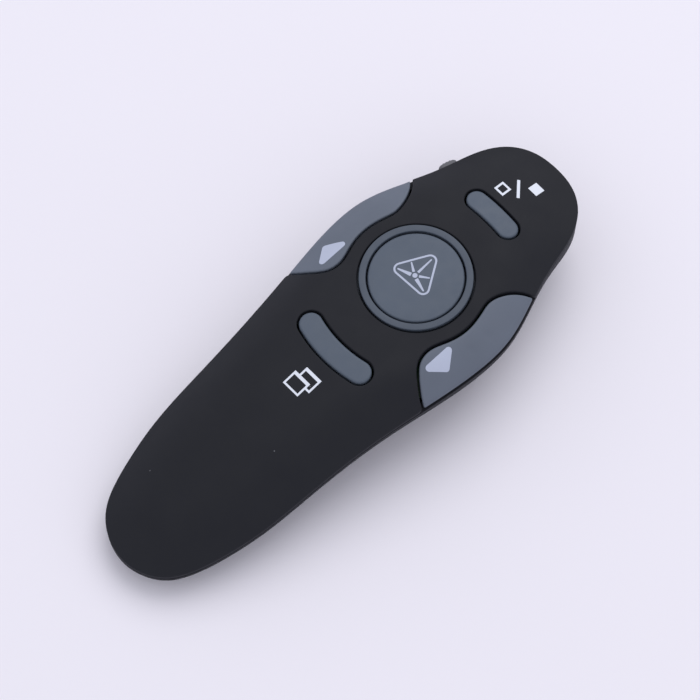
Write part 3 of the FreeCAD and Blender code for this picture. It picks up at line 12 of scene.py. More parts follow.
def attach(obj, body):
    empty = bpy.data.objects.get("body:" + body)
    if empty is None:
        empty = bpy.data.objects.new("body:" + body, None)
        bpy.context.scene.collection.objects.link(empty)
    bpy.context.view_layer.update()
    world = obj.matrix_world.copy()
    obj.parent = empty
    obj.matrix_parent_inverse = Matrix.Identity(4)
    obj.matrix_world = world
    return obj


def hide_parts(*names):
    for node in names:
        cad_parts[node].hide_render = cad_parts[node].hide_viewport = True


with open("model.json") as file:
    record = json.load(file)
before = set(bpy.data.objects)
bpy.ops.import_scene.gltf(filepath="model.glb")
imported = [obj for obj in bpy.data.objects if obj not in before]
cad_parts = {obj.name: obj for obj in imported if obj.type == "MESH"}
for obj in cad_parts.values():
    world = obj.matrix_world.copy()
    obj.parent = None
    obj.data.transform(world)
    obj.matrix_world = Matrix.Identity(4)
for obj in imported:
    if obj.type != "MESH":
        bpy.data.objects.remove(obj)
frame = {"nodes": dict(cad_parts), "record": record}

bl_info = {
    "name": "Presentation clicker",
    "version": (1, 0, 0),
    "blender": (4, 5, 0),
    "location": "View3D > Sidebar > Clicker",
    "description": "Dresses the wireless presentation clicker and sets its stage",
    "category": "Object",
}

# Lengths are in metres. X runs from the tail to the nose, +Y is the left side, +Z is up.
MM = 0.001
# From the left side to the right one
OTHER_SIDE = np.array([1, -1])

# Side view, as shares of the length from the tail and of the crown's height
CROWN_SHARES = [
    (0.000, 0.335), (0.070, 0.487), (0.191, 0.682), (0.311, 0.832), (0.472, 0.950), (0.585, 0.978),
    (0.665, 1.000), (0.754, 1.014), (0.842, 0.992), (0.931, 0.920), (1.000, 0.845),
]
SEAM_SHARES = [
    (0.000, 0.218), (0.102, 0.309), (0.191, 0.414), (0.311, 0.545), (0.424, 0.640), (0.545, 0.698),
    (0.665, 0.757), (0.786, 0.785), (0.891, 0.796), (1.000, 0.785),
]
# Width of the rounded border of the top, as a share of the full width of that border
ROLL_SHARES = [(0.00, 1.00), (0.40, 1.00), (0.55, 0.78), (0.78, 0.75), (0.92, 0.90), (1.00, 0.95)]
# Half of the plan outline from the tail's tip to the nose's tip
OUTLINE_SHARES = [
    (0.000, 0.000), (0.0075, 0.210), (0.036, 0.434), (0.070, 0.543), (0.118, 0.631), (0.191, 0.718),
    (0.290, 0.768), (0.400, 0.818), (0.500, 0.892), (0.590, 0.970), (0.648, 1.000), (0.705, 0.987),
    (0.770, 0.885), (0.830, 0.759), (0.872, 0.690), (0.925, 0.606), (0.968, 0.465), (0.992, 0.270),
    (1.000, 0.000),
]
# Inner edge of a page key from its front corner to its rear corner, as shares of the bezel's radius
PAGE_KEY_SHARES = [
    (1.392, 1.658), (1.317, 1.546), (1.150, 1.393), (0.976, 1.293), (0.800, 1.229), (0.615, 1.204),
    (0.400, 1.250), (0.000, 1.318), (-0.410, 1.252), (-0.750, 1.150), (-1.005, 1.192), (-1.229, 1.408),
    (-1.386, 1.658), (-1.471, 1.871),
]
# Dents in the right page key, ahead of the laser button and beside it, as shares of the bezel's radius
DENT_SHARES = [(0.207, -1.604), (-0.189, -1.594)]
# Rays of the laser sign as shares of the bezel's radius: where each starts and ends, and its width there
LASER_RAY_SHARES = [
    (0.079, 0.000, 0.425, 0.000, 0.047, 0.024), (0.035, 0.063, 0.142, 0.223, 0.050, 0.024),
    (0.035, -0.063, 0.142, -0.223, 0.050, 0.024), (-0.033, 0.062, -0.113, 0.315, 0.070, 0.026),
    (-0.033, -0.062, -0.113, -0.315, 0.070, 0.026),
]


def length_property(label, text, millimetres):
    return FloatProperty(name=label, description=text, default=millimetres * MM, unit="LENGTH", precision=5)


def place_property(label, text, *millimetres):
    return FloatVectorProperty(name=label, description=text, default=[side * MM for side in millimetres],
                               unit="LENGTH", size=len(millimetres))


def angle_property(label, text, degrees):
    return FloatProperty(name=label, description=text, default=math.radians(degrees), subtype="ANGLE")


def tone(red, green, blue):
    """A colour as the eye reads it, from 0 to 255, turned into light."""
    shares = [value / 255 for value in (red, green, blue)]
    return tuple(share / 12.92 if share <= 0.04045 else ((share + 0.055) / 1.055) ** 2.4 for share in shares)


def colour_property(label, text, red, green, blue):
    return FloatVectorProperty(name=label, description=text, default=tone(red, green, blue), subtype="COLOR",
                               size=3, min=0.0, max=1.0)


class ClickerShape(bpy.types.PropertyGroup):
    """Sizes of the clicker's outside."""
    length: length_property("Length", "Tail to nose of the two shells", 124.2)
    window_proud: length_property("Window proud", "How far the window stands out of the nose", 0.2)
    width: length_property("Width", "Across the page keys", 46.1)
    crown_height: length_property("Crown height", "Top of the shell at the laser button", 23.0)
    crown_sag: length_property("Crown sag", "Fall of the crown to the widest edge", 1.35)
    edge_rise: length_property("Edge rise", "Upright edge above the parting line", 0.85)
    top_roll: length_property("Top roll", "Width of the rounded border of the top", 12.0)
    top_thickness: length_property("Top thickness", "Thickness of the top", 1.5)
    ring_x: length_property("Ring place", "Laser button ahead of the middle", 20.5)
    ring_radius: length_property("Ring radius", "Outside of the bezel", 12.0)
    ring_width: length_property("Ring width", "Face of the bezel", 1.45)
    ring_rise: length_property("Ring rise", "Bezel above the crown", 0.2)
    ring_gap: length_property("Ring gap", "Gap round the bezel", 0.4)
    ring_tilt: angle_property("Ring tilt", "Slope of the crown under the laser button", 2.8)
    ring_flange: length_property("Ring flange", "Flange of the bezel under the top", 1.7)
    ring_seat: length_property("Ring seat", "Upper side of that flange below the crown", 2.9)
    ring_foot: length_property("Ring foot", "Lower end of the bezel below the crown", 3.7)
    cap_crown: length_property("Cap crown", "Crown of the laser button", 0.35)
    cap_gap: length_property("Cap gap", "Gap round the laser button", 0.4)
    cap_edge: length_property("Cap edge", "Rounded edge of the laser button", 0.45)
    cap_wall: length_property("Cap wall", "Lower end of the laser button's wall below the crown", 2.9)
    cap_flange: length_property("Cap flange", "Flange of the laser button under the bezel", 1.4)
    cap_seat: length_property("Cap seat", "Upper side of that flange below the crown", 4.0)
    cap_foot: length_property("Cap foot", "Lower end of the laser button below the crown", 4.7)
    key_gap: length_property("Key gap", "Gap round the arc key and the bar key", 0.45)
    page_gap: length_property("Page gap", "Gap along the page keys", 0.55)
    key_inset: length_property("Key inset", "Outer edge of a page key inside the outline", 0.3)
    key_foot: length_property("Key foot", "Lower edge of a page key above the parting line", 0.5)
    key_depth: length_property("Key depth", "How far a key's walls reach below the crown", 2.4)
    flange_inset: length_property("Flange inset", "Flange of a page key inside the outline", 1.95)
    flange_width: length_property("Flange width", "Thickness of that flange", 0.9)
    flange_end: length_property("Flange end", "That flange short of the page key's corners", 4.0)
    flange_top: length_property("Flange top", "Top of that flange above the parting line", 1.2)
    flange_foot: length_property("Flange foot", "How far that flange reaches below the parting line", 1.0)
    arc_key_x: length_property("Arc key place", "Middle of the arc key behind the laser button", 23.85)
    arc_key_bow: length_property("Arc key bow", "Radius that the arc key is bowed on", 29.5)
    arc_key_width: length_property("Arc key width", "Width of the arc key", 5.05)
    arc_key_length: length_property("Arc key length", "Length of the arc key", 19.95)
    bar_key_x: length_property("Bar key place", "Middle of the bar key ahead of the laser button", 22.35)
    bar_key_bow: length_property("Bar key bow", "Radius that the bar key is bowed on", 50.0)
    bar_key_width: length_property("Bar key width", "Width of the bar key", 4.65)
    bar_key_length: length_property("Bar key length", "Length of the bar key", 13.8)
    opening_round: length_property("Opening round", "Rounded edge of the openings in the top", 0.25)
    key_round: length_property("Key round", "Rounded rim of the keys", 0.5)
    corner_round: length_property("Corner round", "How far the rounding of the top's corners reaches", 0.35)
    key_corner_round: length_property("Key corner round", "The same for the page keys' corners", 0.25)
    dent_depth: length_property("Dent depth", "Faint moulding dents in the right page key", 0.15)
    dent_radius: length_property("Dent radius", "Reach of such a dent", 0.9)
    knob_x: length_property("Knob place", "Power knob ahead of the laser button", 25.4)
    knob_side: length_property("Knob side", "Wall behind the power knob beside the middle line", 16.15)
    knob_angle: angle_property("Knob angle", "Slope of the wall at the power knob", 14.5)
    knob_height: length_property("Knob height", "Middle of the power knob above the table", 16.1)
    knob_length: length_property("Knob length", "Power knob along the wall", 4.4)
    knob_width: length_property("Knob width", "Power knob from its lower to its upper edge", 2.5)
    knob_proud: length_property("Knob proud", "How far the power knob stands out of the wall", 1.6)
    knob_lift: length_property("Knob lift", "Gap between the power knob and the wall", 0.25)
    mesh_spacing: length_property("Mesh spacing", "Distance between the points of the shells", 0.9)


class ClickerSigns(bpy.types.PropertyGroup):
    """Sizes of the printed signs. Places are from the laser button."""
    ink_rise: length_property("Ink rise", "Printed signs above the surface", 0.02)
    laser_apex: length_property("Laser sign apex", "Front corner of the laser sign", 7.15)
    laser_base: length_property("Laser sign base", "Rear side of the laser sign", 2.25)
    laser_half: length_property("Laser sign half", "Half of its rear side", 5.44)
    laser_round: length_property("Laser sign round", "Its rounded corners", 1.25)
    laser_stroke: length_property("Laser sign stroke", "Its line", 0.42)
    laser_dot: length_property("Laser sign dot", "Radius of its dot", 0.54)
    laser_shift: length_property("Laser sign shift", "Its middle beside the middle line", 0.32)
    laser_turn: angle_property("Laser sign turn", "Turn of the laser button in its bezel", 3.1)
    page_base_side: length_property("Page sign base", "Inner side of a page sign", 15.75)
    page_apex_side: length_property("Page sign apex", "Outer corner of a page sign", 19.55)
    page_front: length_property("Page sign front", "Front corner of a page sign", -4.0)
    page_back: length_property("Page sign back", "Rear corner of a page sign", -13.5)
    page_apex: length_property("Page sign middle", "Outer corner of a page sign along the clicker", -8.6)
    page_round: length_property("Page sign round", "Rounded corners of a page sign", 0.68)
    left_shift: place_property("Left shift", "Print of the left page sign off its place", 0.15, 0.2)
    right_shift: place_property("Right shift", "Print of the right page sign off its place", -0.13, 0.12)
    screen_side: length_property("Open square side", "Sides of the open square", 2.62)
    screen_filled_side: length_property("Filled square side", "Sides of the filled square", 2.5)
    screen_stroke: length_property("Screen sign stroke", "Line of the open square", 0.48)
    screen_open: place_property("Open square", "Middle of the open square", 28.25, 3.09)
    screen_filled: place_property("Filled square", "Middle of the filled square", 33.87, -1.48)
    bar_front: place_property("Bar front", "Front end of the bar between the squares", 32.54, 2.55)
    bar_back: place_property("Bar back", "Rear end of the bar between the squares", 29.16, -0.69)
    bar_width: length_property("Bar width", "Width of the bar between the squares", 0.66)
    slide_back: length_property("Slide sign back", "Rear side of the slide sign", -35.71)
    slide_low: length_property("Slide sign right", "Right side of the rear slide", -2.48)
    slide_length: length_property("Slide length", "A slide from back to front", 3.62)
    slide_width: length_property("Slide width", "A slide from side to side", 4.4)
    slide_step: length_property("Slide step", "Front slide ahead of the rear one", 2.12)
    slide_shift: length_property("Slide shift", "Front slide to the right of the rear one", 1.2)
    slide_stroke: length_property("Slide stroke", "Line of a slide", 0.43)
    slide_front_stroke: length_property("Slide front stroke", "Thicker front line of a slide", 0.72)
    slide_turn: angle_property("Slide sign turn", "Turn of the slide sign", 1.1)


class ClickerColours(bpy.types.PropertyGroup):
    """Colours of the clicker."""
    body: colour_property("Body", "Soft matte shells", 23, 25, 33)
    keys: colour_property("Keys", "Keys on the top", 81, 91, 106)
    # Page keys: the keys' grey made lighter, painted light for the extra light that the tilted side keys catch
    page_keys_painted_light: colour_property("Page keys", "Keys at the sides", 95, 103, 118)
    knob: colour_property("Knob", "Power knob", 92, 93, 101)
    bezel: colour_property("Bezel", "Ring round the laser button", 72, 81, 95)
    ink: colour_property("Ink", "Pictograms on the shell", 222, 228, 242)
    key_ink: colour_property("Key ink", "Triangles on the page keys", 178, 186, 209)
    window: colour_property("Window", "Dark window in the nose", 12, 12, 15)
    board: colour_property("Board", "Circuit board", 22, 74, 44)
    part: colour_property("Parts", "Moulded parts on the board", 24, 24, 26)
    can: colour_property("Can", "Sheet metal", 176, 178, 182)
    brass: colour_property("Brass", "Laser barrel", 190, 156, 88)
    jacket: colour_property("Jacket", "Printed jacket of a cell", 52, 58, 68)
    nickel: colour_property("Nickel", "Plated contacts", 182, 178, 168)
    screw: colour_property("Screw", "Blackened screws", 92, 92, 96)
    lens: colour_property("Lens", "Clear plastic of the laser's lens", 236, 238, 242)
    dust: colour_property("Dust", "Specks of dust on the shells", 150, 152, 160)
    edge_light: colour_property("Edge light", "Light along the shells' grazing edges", 170, 172, 190)


class ClickerStage(bpy.types.PropertyGroup):
    """Camera, light and floor."""
    camera_azimuth: angle_property("Azimuth", "Camera's bearing from the clicker", -132.54)
    camera_elevation: angle_property("Elevation", "Camera's height above the table as an angle", 66.16)
    camera_place: place_property("Camera place", "Where the camera stands", -132.93, -146.82, 464.93)
    camera_lens: FloatProperty(name="Lens", description="Focal length on a 36 mm sensor", default=120.69)
    floor: colour_property("Floor", "Pale table", 238, 236, 247)
    floor_reach: length_property("Floor reach", "Half of a side of the table", 3000)
    floor_drop: length_property("Floor drop", "Table below the clicker's flat", 0.02)
    sky: colour_property("Sky colour", "Even light", 250, 250, 255)
    sky_strength: FloatProperty(name="Sky", description="Strength of the even light", default=0.775)
    lamp: colour_property("Lamp colour", "Large lamp", 255, 253, 250)
    lamp_strength: FloatProperty(name="Lamp", description="Strength of the large lamp in watts", default=6.4)
    lamp_size: length_property("Lamp size", "Across the large lamp", 1200)
    lamp_place: place_property("Lamp place", "Where the large lamp stands", 700, 300, 1100)


def shape():
    return bpy.context.scene.clicker_shape


def signs():
    return bpy.context.scene.clicker_signs


def colours():
    return bpy.context.scene.clicker_colours


# Curves in the plan

def smooth_curve(points, spacing, closed):
    """Places about a spacing apart on a smooth curve through points."""
    points = np.array(points, dtype=float)
    count = len(points)
    ahead = np.roll(points, -1, axis=0)
    spans = np.hypot(*(ahead - points).T)
    matrix = np.eye(count)
    target = np.zeros((count, 2))
    for index in range(count):
        if not closed and index in (0, count - 1):
            continue
        before, after = spans[index - 1], spans[index]
        matrix[index, index - 1] = before
        matrix[index, index] = 2 * (before + after)
        matrix[index, (index + 1) % count] = after
        slope_in = (points[index] - points[index - 1]) / before
        slope_out = (ahead[index] - points[index]) / after
        target[index] = 6 * (slope_out - slope_in)
    bends = np.linalg.solve(matrix, target)
    places = []
    for index in range(count if closed else count - 1):
        span = spans[index]
        far = (index + 1) % count
        steps = max(1, int(round(span / spacing)))
        for step in range(steps):
            near_part = span * (1 - step / steps)
            far_part = span * step / steps
            places.append(bends[index] * near_part ** 3 / (6 * span) + bends[far] * far_part ** 3 / (6 * span)
                          + (points[index] / span - bends[index] * span / 6) * near_part
                          + (points[far] / span - bends[far] * span / 6) * far_part)
    if not closed:
        places.append(points[-1])
    return np.array(places)


def signed_area(loop):
    ahead = np.roll(loop, -1, axis=0)
    return float(np.sum(loop[:, 0] * ahead[:, 1] - ahead[:, 0] * loop[:, 1]) / 2)


def wound(loop, forward):
    """The loop counter-clockwise for an outside, clockwise for a hole."""
    return loop if (signed_area(loop) > 0) == forward else loop[::-1]


def directions(loop):
    """Directions into and out of each place of a loop."""
    after = np.roll(loop, -1, axis=0) - loop
    after /= np.linalg.norm(after, axis=1)[:, None]
    return np.roll(after, 1, axis=0), after


def outward(loop):
    """Directions away from what a loop encloses, lengthened at corners."""
    before, after = directions(loop)
    sides = np.stack([before[:, 1] + after[:, 1], -before[:, 0] - after[:, 0]], axis=1)
    least = 1.2
    size = np.maximum(np.linalg.norm(sides, axis=1), least)
    return 2 * sides / size[:, None] ** 2


def straight(start, end, spacing):
    """Places between two points, without the points themselves."""
    start, end = np.array(start), np.array(end)
    steps = max(1, int(round(np.linalg.norm(end - start) / spacing)))
    return [start + (end - start) * step / steps for step in range(1, steps)]


def sided(corners, spacing):
    """A closed outline with straight sides."""
    places = []
    for index, corner in enumerate(corners):
        ahead = corners[(index + 1) % len(corners)]
        places += [np.array(corner)] + straight(corner, ahead, spacing)
    return np.array(places)


def box_corners(x0, y0, x1, y1):
    """Corners of a rectangle, counter-clockwise."""
    return [(x0, y0), (x1, y0), (x1, y1), (x0, y1)]


def rounded_sides(corners, radius, spacing):
    """A counter-clockwise outline with straight sides and round corners."""
    corners = np.array(corners, dtype=float)
    places = []
    for index, corner in enumerate(corners):
        back = corners[index - 1] - corner
        ahead = corners[(index + 1) % len(corners)] - corner
        back /= np.linalg.norm(back)
        ahead /= np.linalg.norm(ahead)
        half = math.acos(float(back @ ahead)) / 2
        middle = back + ahead
        centre = corner + middle / np.linalg.norm(middle) * radius / math.sin(half)
        arm = corner + back * radius / math.tan(half) - centre
        steps = max(3, int(radius * (math.pi - 2 * half) / spacing))
        if places:
            places += straight(places[-1], centre + arm, spacing)
        for step in range(steps + 1):
            turn = (math.pi - 2 * half) * step / steps
            places.append(centre + arm * math.cos(turn) + np.array([-arm[1], arm[0]]) * math.sin(turn))
    return np.array(places + straight(places[-1], places[0], spacing))


def softened(loop, reach):
    """The loop with each sharp corner turned into a short curve."""
    before, after = directions(loop)
    sharp_turn = math.radians(40)
    for corner in loop[np.sum(before * after, axis=1) < math.cos(sharp_turn)]:
        place = int(np.argmin(np.linalg.norm(loop - corner, axis=1)))
        rolled = np.roll(loop, len(loop) // 2 - place, axis=0)
        near = np.flatnonzero(np.linalg.norm(rolled - corner, axis=1) <= reach)
        start, end = rolled[near[0] - 1], rolled[near[-1] + 1]
        curve = [start * (1 - share) ** 2 + corner * 2 * share * (1 - share) + end * share ** 2
                 for share in (0.2, 0.4, 0.6, 0.8)]
        loop = np.concatenate([rolled[:near[0]], curve, rolled[near[-1] + 1:]])
    return loop


def crossings(path, loop):
    """Where an open path crosses a loop: the step along the path, and the place."""
    found = []
    side = np.roll(loop, -1, axis=0) - loop
    for step, (start, end) in enumerate(zip(path[:-1], path[1:])):
        run = end - start
        gap = loop - start
        size = run[0] * side[:, 1] - run[1] * side[:, 0]
        on_path = (gap[:, 0] * side[:, 1] - gap[:, 1] * side[:, 0]) / size
        on_loop = (gap[:, 0] * run[1] - gap[:, 1] * run[0]) / size
        for index in np.flatnonzero((on_path >= 0) & (on_path < 1) & (on_loop >= 0) & (on_loop < 1)):
            found.append((step, start + run * on_path[index]))
    return found


def nearest_gap(places, loops):
    """Distance from each place to the nearest of some loops."""
    gaps = np.full(len(places), np.inf)
    batch, tiny = 2000, 1e-18
    for loop in loops:
        run = np.roll(loop, -1, axis=0) - loop
        square = np.maximum(np.sum(run * run, axis=1), tiny)
        for low in range(0, len(places), batch):
            high = low + batch
            part = places[low:high, None, :] - loop[None, :, :]
            share = np.clip(np.sum(part * run, axis=2) / square, 0, 1)
            gap = np.linalg.norm(part - share[:, :, None] * run, axis=2).min(axis=1)
            gaps[low:high] = np.minimum(gaps[low:high], gap)
    return gaps


def enclosed(places, loops):
    """Whether each place lies inside the outer loop and outside its holes."""
    inside = np.zeros(len(places), dtype=bool)
    x, y = places[:, 0], places[:, 1]
    for loop in loops:
        ahead = np.roll(loop, -1, axis=0)
        for start, end in zip(loop, ahead):
            if start[1] == end[1]:
                continue
            crosses = (start[1] > y) != (end[1] > y)
            inside ^= crosses & (x < start[0] + (y - start[1]) * (end[0] - start[0]) / (end[1] - start[1]))
    return inside


# Surfaces of the body

def along(table, share):
    """A smooth curve through a table of shares."""
    table = np.array(table)
    places, values = table[:, 0], table[:, 1]
    count = len(table)
    low = np.maximum(np.arange(count) - 1, 0)
    high = np.minimum(np.arange(count) + 1, count - 1)
    slopes = (values[high] - values[low]) / (places[high] - places[low])
    share = np.asarray(share, dtype=float)
    step = np.clip(np.searchsorted(places, share) - 1, 0, count - 2)
    span = places[step + 1] - places[step]
    part = np.clip((share - places[step]) / span, 0, 1)
    rise = values[step] * (1 + 2 * part) * (1 - part) ** 2 + values[step + 1] * part ** 2 * (3 - 2 * part)
    lean = slopes[step] * part * (1 - part) ** 2 - slopes[step + 1] * part ** 2 * (1 - part)
    past = share - np.clip(share, places[0], places[-1])
    return rise + lean * span + past * slopes[np.where(past < 0, 0, count - 1)]


def tail_x():
    return -(shape().length + shape().window_proud) / 2


def outline(spacing):
    """The plan outline, counter-clockwise."""
    half = shape().width / 2
    left = [(tail_x() + shape().length * u, half * v) for u, v in OUTLINE_SHARES]
    right = [(x, -y) for x, y in reversed(left[1:-1])]
    return wound(smooth_curve(left + right, spacing, True), True)


def inside_distance(x, y):
    """Distance to the outline, positive inside."""
    places = np.stack([np.ravel(x), np.ravel(y)], axis=1)
    loops = [outline(shape().mesh_spacing)]
    gaps = nearest_gap(places, loops)
    return np.where(enclosed(places, loops), gaps, -gaps).reshape(np.shape(x))


def seam_height(x):
    return shape().crown_height * along(SEAM_SHARES, (x - tail_x()) / shape().length)


def crown_height(x, y):
    """Height of the top at a place in the plan."""
    x, y = np.asarray(x, dtype=float), np.asarray(y, dtype=float)
    share = (x - tail_x()) / shape().length
    crown = shape().crown_height * along(CROWN_SHARES, share) - shape().crown_sag * (2 * y / shape().width) ** 2
    width = shape().top_roll * along(ROLL_SHARES, share)
    fall = np.maximum(0, 1 - np.maximum(inside_distance(x, y), 0) / width) ** 2
    return (1 - fall) * crown + fall * (seam_height(x) + shape().edge_rise)


# Meshes

def rounding(radius, steps):
    """Inset and drop of the rings of a rounded edge, from its top."""
    turns = [math.pi / 2 * step / steps for step in range(steps + 1)]
    return [(radius * (1 - math.sin(turn)), radius * (1 - math.cos(turn))) for turn in turns]


def filled(rings, spacing):
    """Triangles and inner places that fill a flat region between loops."""
    low = np.min(rings[0], axis=0)
    high = np.max(rings[0], axis=0)
    row_step = spacing * math.sqrt(3) / 2
    inner = []
    for row in range(int((high[1] - low[1]) / row_step) + 2):
        shift = spacing / 2 * (row % 2)
        for column in range(int((high[0] - low[0]) / spacing) + 2):
            inner.append((low[0] + shift + column * spacing, low[1] + row * row_step))
    inner = np.array(inner)
    inner = inner[enclosed(inner, rings)]
    inner = inner[nearest_gap(inner, rings) > spacing / 2] if len(inner) else inner
    places = np.concatenate(list(rings) + [inner]) if len(inner) else np.concatenate(list(rings))
    edges = []
    start = 0
    for ring in rings:
        count = len(ring)
        edges += [(start + index, start + (index + 1) % count) for index in range(count)]
        start += count
    scale, tolerance = 1 / MM, 1e-7
    result = delaunay_2d_cdt([Vector(place) * scale for place in places], edges, [], 0, tolerance)
    source = [origin[0] if origin else None for origin in result[3]]
    triangles = []
    for face in result[2]:
        corners = [source[index] for index in face]
        if None not in corners and len(set(corners)) == 3:
            triangles.append(corners)
    centres = places[np.array(triangles)].mean(axis=1)
    kept = enclosed(centres, rings)
    triangles = [corners for corners, keep in zip(triangles, kept) if keep]
    return places, triangles


def eased(loop, side, inset):
    """Directions of a loop's inset, shortened near sharp corners so that the inset doesn't fold."""
    ease = np.ones(len(loop))
    tries, slack, shrink = 14, 0.96, 0.8
    for _ in range(tries):
        reach = inset * ease
        folded = nearest_gap(loop - side * reach[:, None], [loop]) < slack * reach
        ease[folded] *= shrink
    ease = np.minimum(ease, (np.roll(ease, 1) + ease + np.roll(ease, -1)) / 3)
    return side * ease[:, None]


def smooth_mesh(name, verts, faces):
    """A smooth mesh with its sharp edges kept."""
    sharp_turn = math.radians(35)
    mesh = bpy.data.meshes.new(name)
    mesh.from_pydata([tuple(vert) for vert in verts], [], faces)
    mesh.validate()
    work = bmesh.new()
    work.from_mesh(mesh)
    bmesh.ops.recalc_face_normals(work, faces=work.faces)
    work.to_mesh(mesh)
    work.free()
    mesh.shade_smooth()
    mesh.set_sharp_from_angle(angle=sharp_turn)
    return mesh


def plate(name, regions, height, floor, spacing, radius=0.0):
    """Plates with a smooth top inside their loops, rounded edges, walls, and an underside on a floor."""
    lead = 1.3 * radius
    profile = [(lead, 0.0)] + rounding(radius, 4) + [(0.0, None)] if radius else [(0.0, 0.0)]
    verts, faces = [], []
    for loops in regions:
        sides = [eased(loop, outward(loop), lead) for loop in loops]
        rings = [loop - side * lead for loop, side in zip(loops, sides)]
        places, triangles = filled(rings, spacing)
        top_start, under_start = len(verts), len(verts) + len(places)
        for level in (height, floor):
            verts += [(x, y, z) for (x, y), z in zip(places, level(places[:, 0], places[:, 1]))]
        faces += [tuple(top_start + index for index in corners) for corners in triangles]
        faces += [tuple(under_start + index for index in reversed(corners)) for corners in triangles]
        start = 0
        for loop, side in zip(loops, sides):
            count = len(loop)
            bands = [top_start + start]
            base = floor(loop[:, 0], loop[:, 1])
            for inset, drop in profile[1:]:
                ring = loop - side * inset
                low = base if drop is None else np.maximum(height(ring[:, 0], ring[:, 1]) - drop, base)
                bands.append(len(verts))
                verts += [(x, y, z) for (x, y), z in zip(ring, low)]
            bands.append(under_start + start)
            for upper, lower in zip(bands, bands[1:]):
                for index in range(count):
                    after = (index + 1) % count
                    faces.append((upper + index, lower + index, lower + after, upper + after))
            start += count
    return smooth_mesh(name, verts, faces)


def lathe(name, profile, steps=180):
    """A round mesh about Z from pairs of radius and height, closed at its ends."""
    verts, faces, rings = [], [], []
    for radius, height in profile:
        if radius == 0:
            rings.append([len(verts)])
            verts.append((0.0, 0.0, height))
            continue
        rings.append(list(range(len(verts), len(verts) + steps)))
        for step in range(steps):
            turn = 2 * math.pi * step / steps
            verts.append((radius * math.cos(turn), radius * math.sin(turn), height))
    for lower, upper in zip(rings, rings[1:] + ([] if len(rings[0]) == 1 else rings[:1])):
        for step in range(steps):
            after = (step + 1) % steps
            corners = [lower[step % len(lower)], lower[after % len(lower)],
                       upper[after % len(upper)], upper[step % len(upper)]]
            unique = [corner for place, corner in enumerate(corners) if corner not in corners[:place]]
            if len(unique) > 2:
                faces.append(tuple(unique))
    return smooth_mesh(name, verts, faces)


def joined(name, meshes):
    """One mesh out of several that belong to one piece."""
    work = bmesh.new()
    for mesh in meshes:
        work.from_mesh(mesh)
        bpy.data.meshes.remove(mesh)
    whole = bpy.data.meshes.new(name)
    work.to_mesh(whole)
    work.free()
    return whole


def add_piece(name, mesh, look, body, stands_for=()):
    """A piece with a finish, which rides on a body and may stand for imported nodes."""
    piece = bpy.data.objects.new(name, mesh)
    bpy.context.scene.collection.objects.link(piece)
    mesh.materials.append(finish(look))
    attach(piece, body)
    if stands_for:
        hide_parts(*stands_for)


# Finishes

def finish_material(name, colour, grain, depth, roughness, spread=0.08, variation=0.06, metallic=0.0, coat=0.0,
                    patch=9.0, specks=0.0, edge_light=0.0, specular=0.5, transmission=0.0,
                    grain_stretch=(1.0, 1.0, 1.0)):
    """A moulded, painted or metal finish with fine grain, uneven gloss and slow changes of colour."""
    name += "_finish"
    if name in bpy.data.materials:
        return bpy.data.materials[name]
    material = bpy.data.materials.new(name)
    material.use_nodes = True
    nodes = material.node_tree.nodes
    links = material.node_tree.links
    shader = nodes["Principled BSDF"]
    shader.inputs["Metallic"].default_value = metallic
    shader.inputs["Coat Weight"].default_value = coat
    shader.inputs["Specular IOR Level"].default_value = specular
    shader.inputs["Transmission Weight"].default_value = transmission
    place = nodes.new("ShaderNodeTexCoord")
    stretch = nodes.new("ShaderNodeMapping")
    stretch.inputs["Scale"].default_value = grain_stretch
    links.new(place.outputs["Object"], stretch.inputs["Vector"])

    def noise(size, detail):
        texture = nodes.new("ShaderNodeTexNoise")
        texture.inputs["Scale"].default_value = 1 / (size * MM)
        texture.inputs["Detail"].default_value = detail
        links.new(stretch.outputs["Vector"], texture.inputs["Vector"])
        return texture.outputs["Fac"]

    def spread_to(source, low, high, start=0.3, end=0.7):
        span = nodes.new("ShaderNodeMapRange")
        for socket, value in (("From Min", start), ("From Max", end), ("To Min", low), ("To Max", high)):
            span.inputs[socket].default_value = value
        links.new(source, span.inputs["Value"])
        return span.outputs["Result"]

    def blended(factor, first, second):
        mix = nodes.new("ShaderNodeMix")
        mix.data_type = "RGBA"
        links.new(factor, mix.inputs["Factor"])
        for socket, value in ((mix.inputs["A"], first), (mix.inputs["B"], second)):
            if isinstance(value, tuple):
                socket.default_value = value
            else:
                links.new(value, socket)
        return mix.outputs["Result"]

    dark = tuple(channel * (1 - variation) for channel in colour) + (1.0,)
    light = tuple(min(1.0, channel * (1 + variation)) for channel in colour) + (1.0,)
    base = blended(spread_to(noise(patch, 3.0), 0.0, 1.0), dark, light)
    fine = noise(grain, 2.0)
    base = blended(spread_to(fine, 0.0, 0.5), base, light)
    if specks:
        cells = nodes.new("ShaderNodeTexVoronoi")
        cells.inputs["Scale"].default_value = 1 / (specks * MM)
        links.new(place.outputs["Object"], cells.inputs["Vector"])
        speck_core, speck_edge, speck_cover = 0.012, 0.028, 0.5
        dots = spread_to(cells.outputs["Distance"], speck_cover, 0.0, speck_core, speck_edge)
        base = blended(dots, base, tuple(colours().dust) + (1.0,))
    links.new(base, shader.inputs["Base Color"])
    gloss = spread_to(noise(patch / 4, 4.0), roughness - spread, roughness + spread)
    links.new(gloss, shader.inputs["Roughness"])
    bump = nodes.new("ShaderNodeBump")
    bump.inputs["Strength"].default_value = 1.0
    bump.inputs["Distance"].default_value = depth * MM
    links.new(fine, bump.inputs["Height"])
    links.new(bump.outputs["Normal"], shader.inputs["Normal"])
    if edge_light:
        shader.inputs["Sheen Weight"].default_value = edge_light
        shader.inputs["Sheen Roughness"].default_value = 0.5
        shader.inputs["Sheen Tint"].default_value = tuple(colours().edge_light) + (1.0,)
    return material


METAL = {"metallic": 1.0, "grain_stretch": (1.0, 6.0, 1.0)}
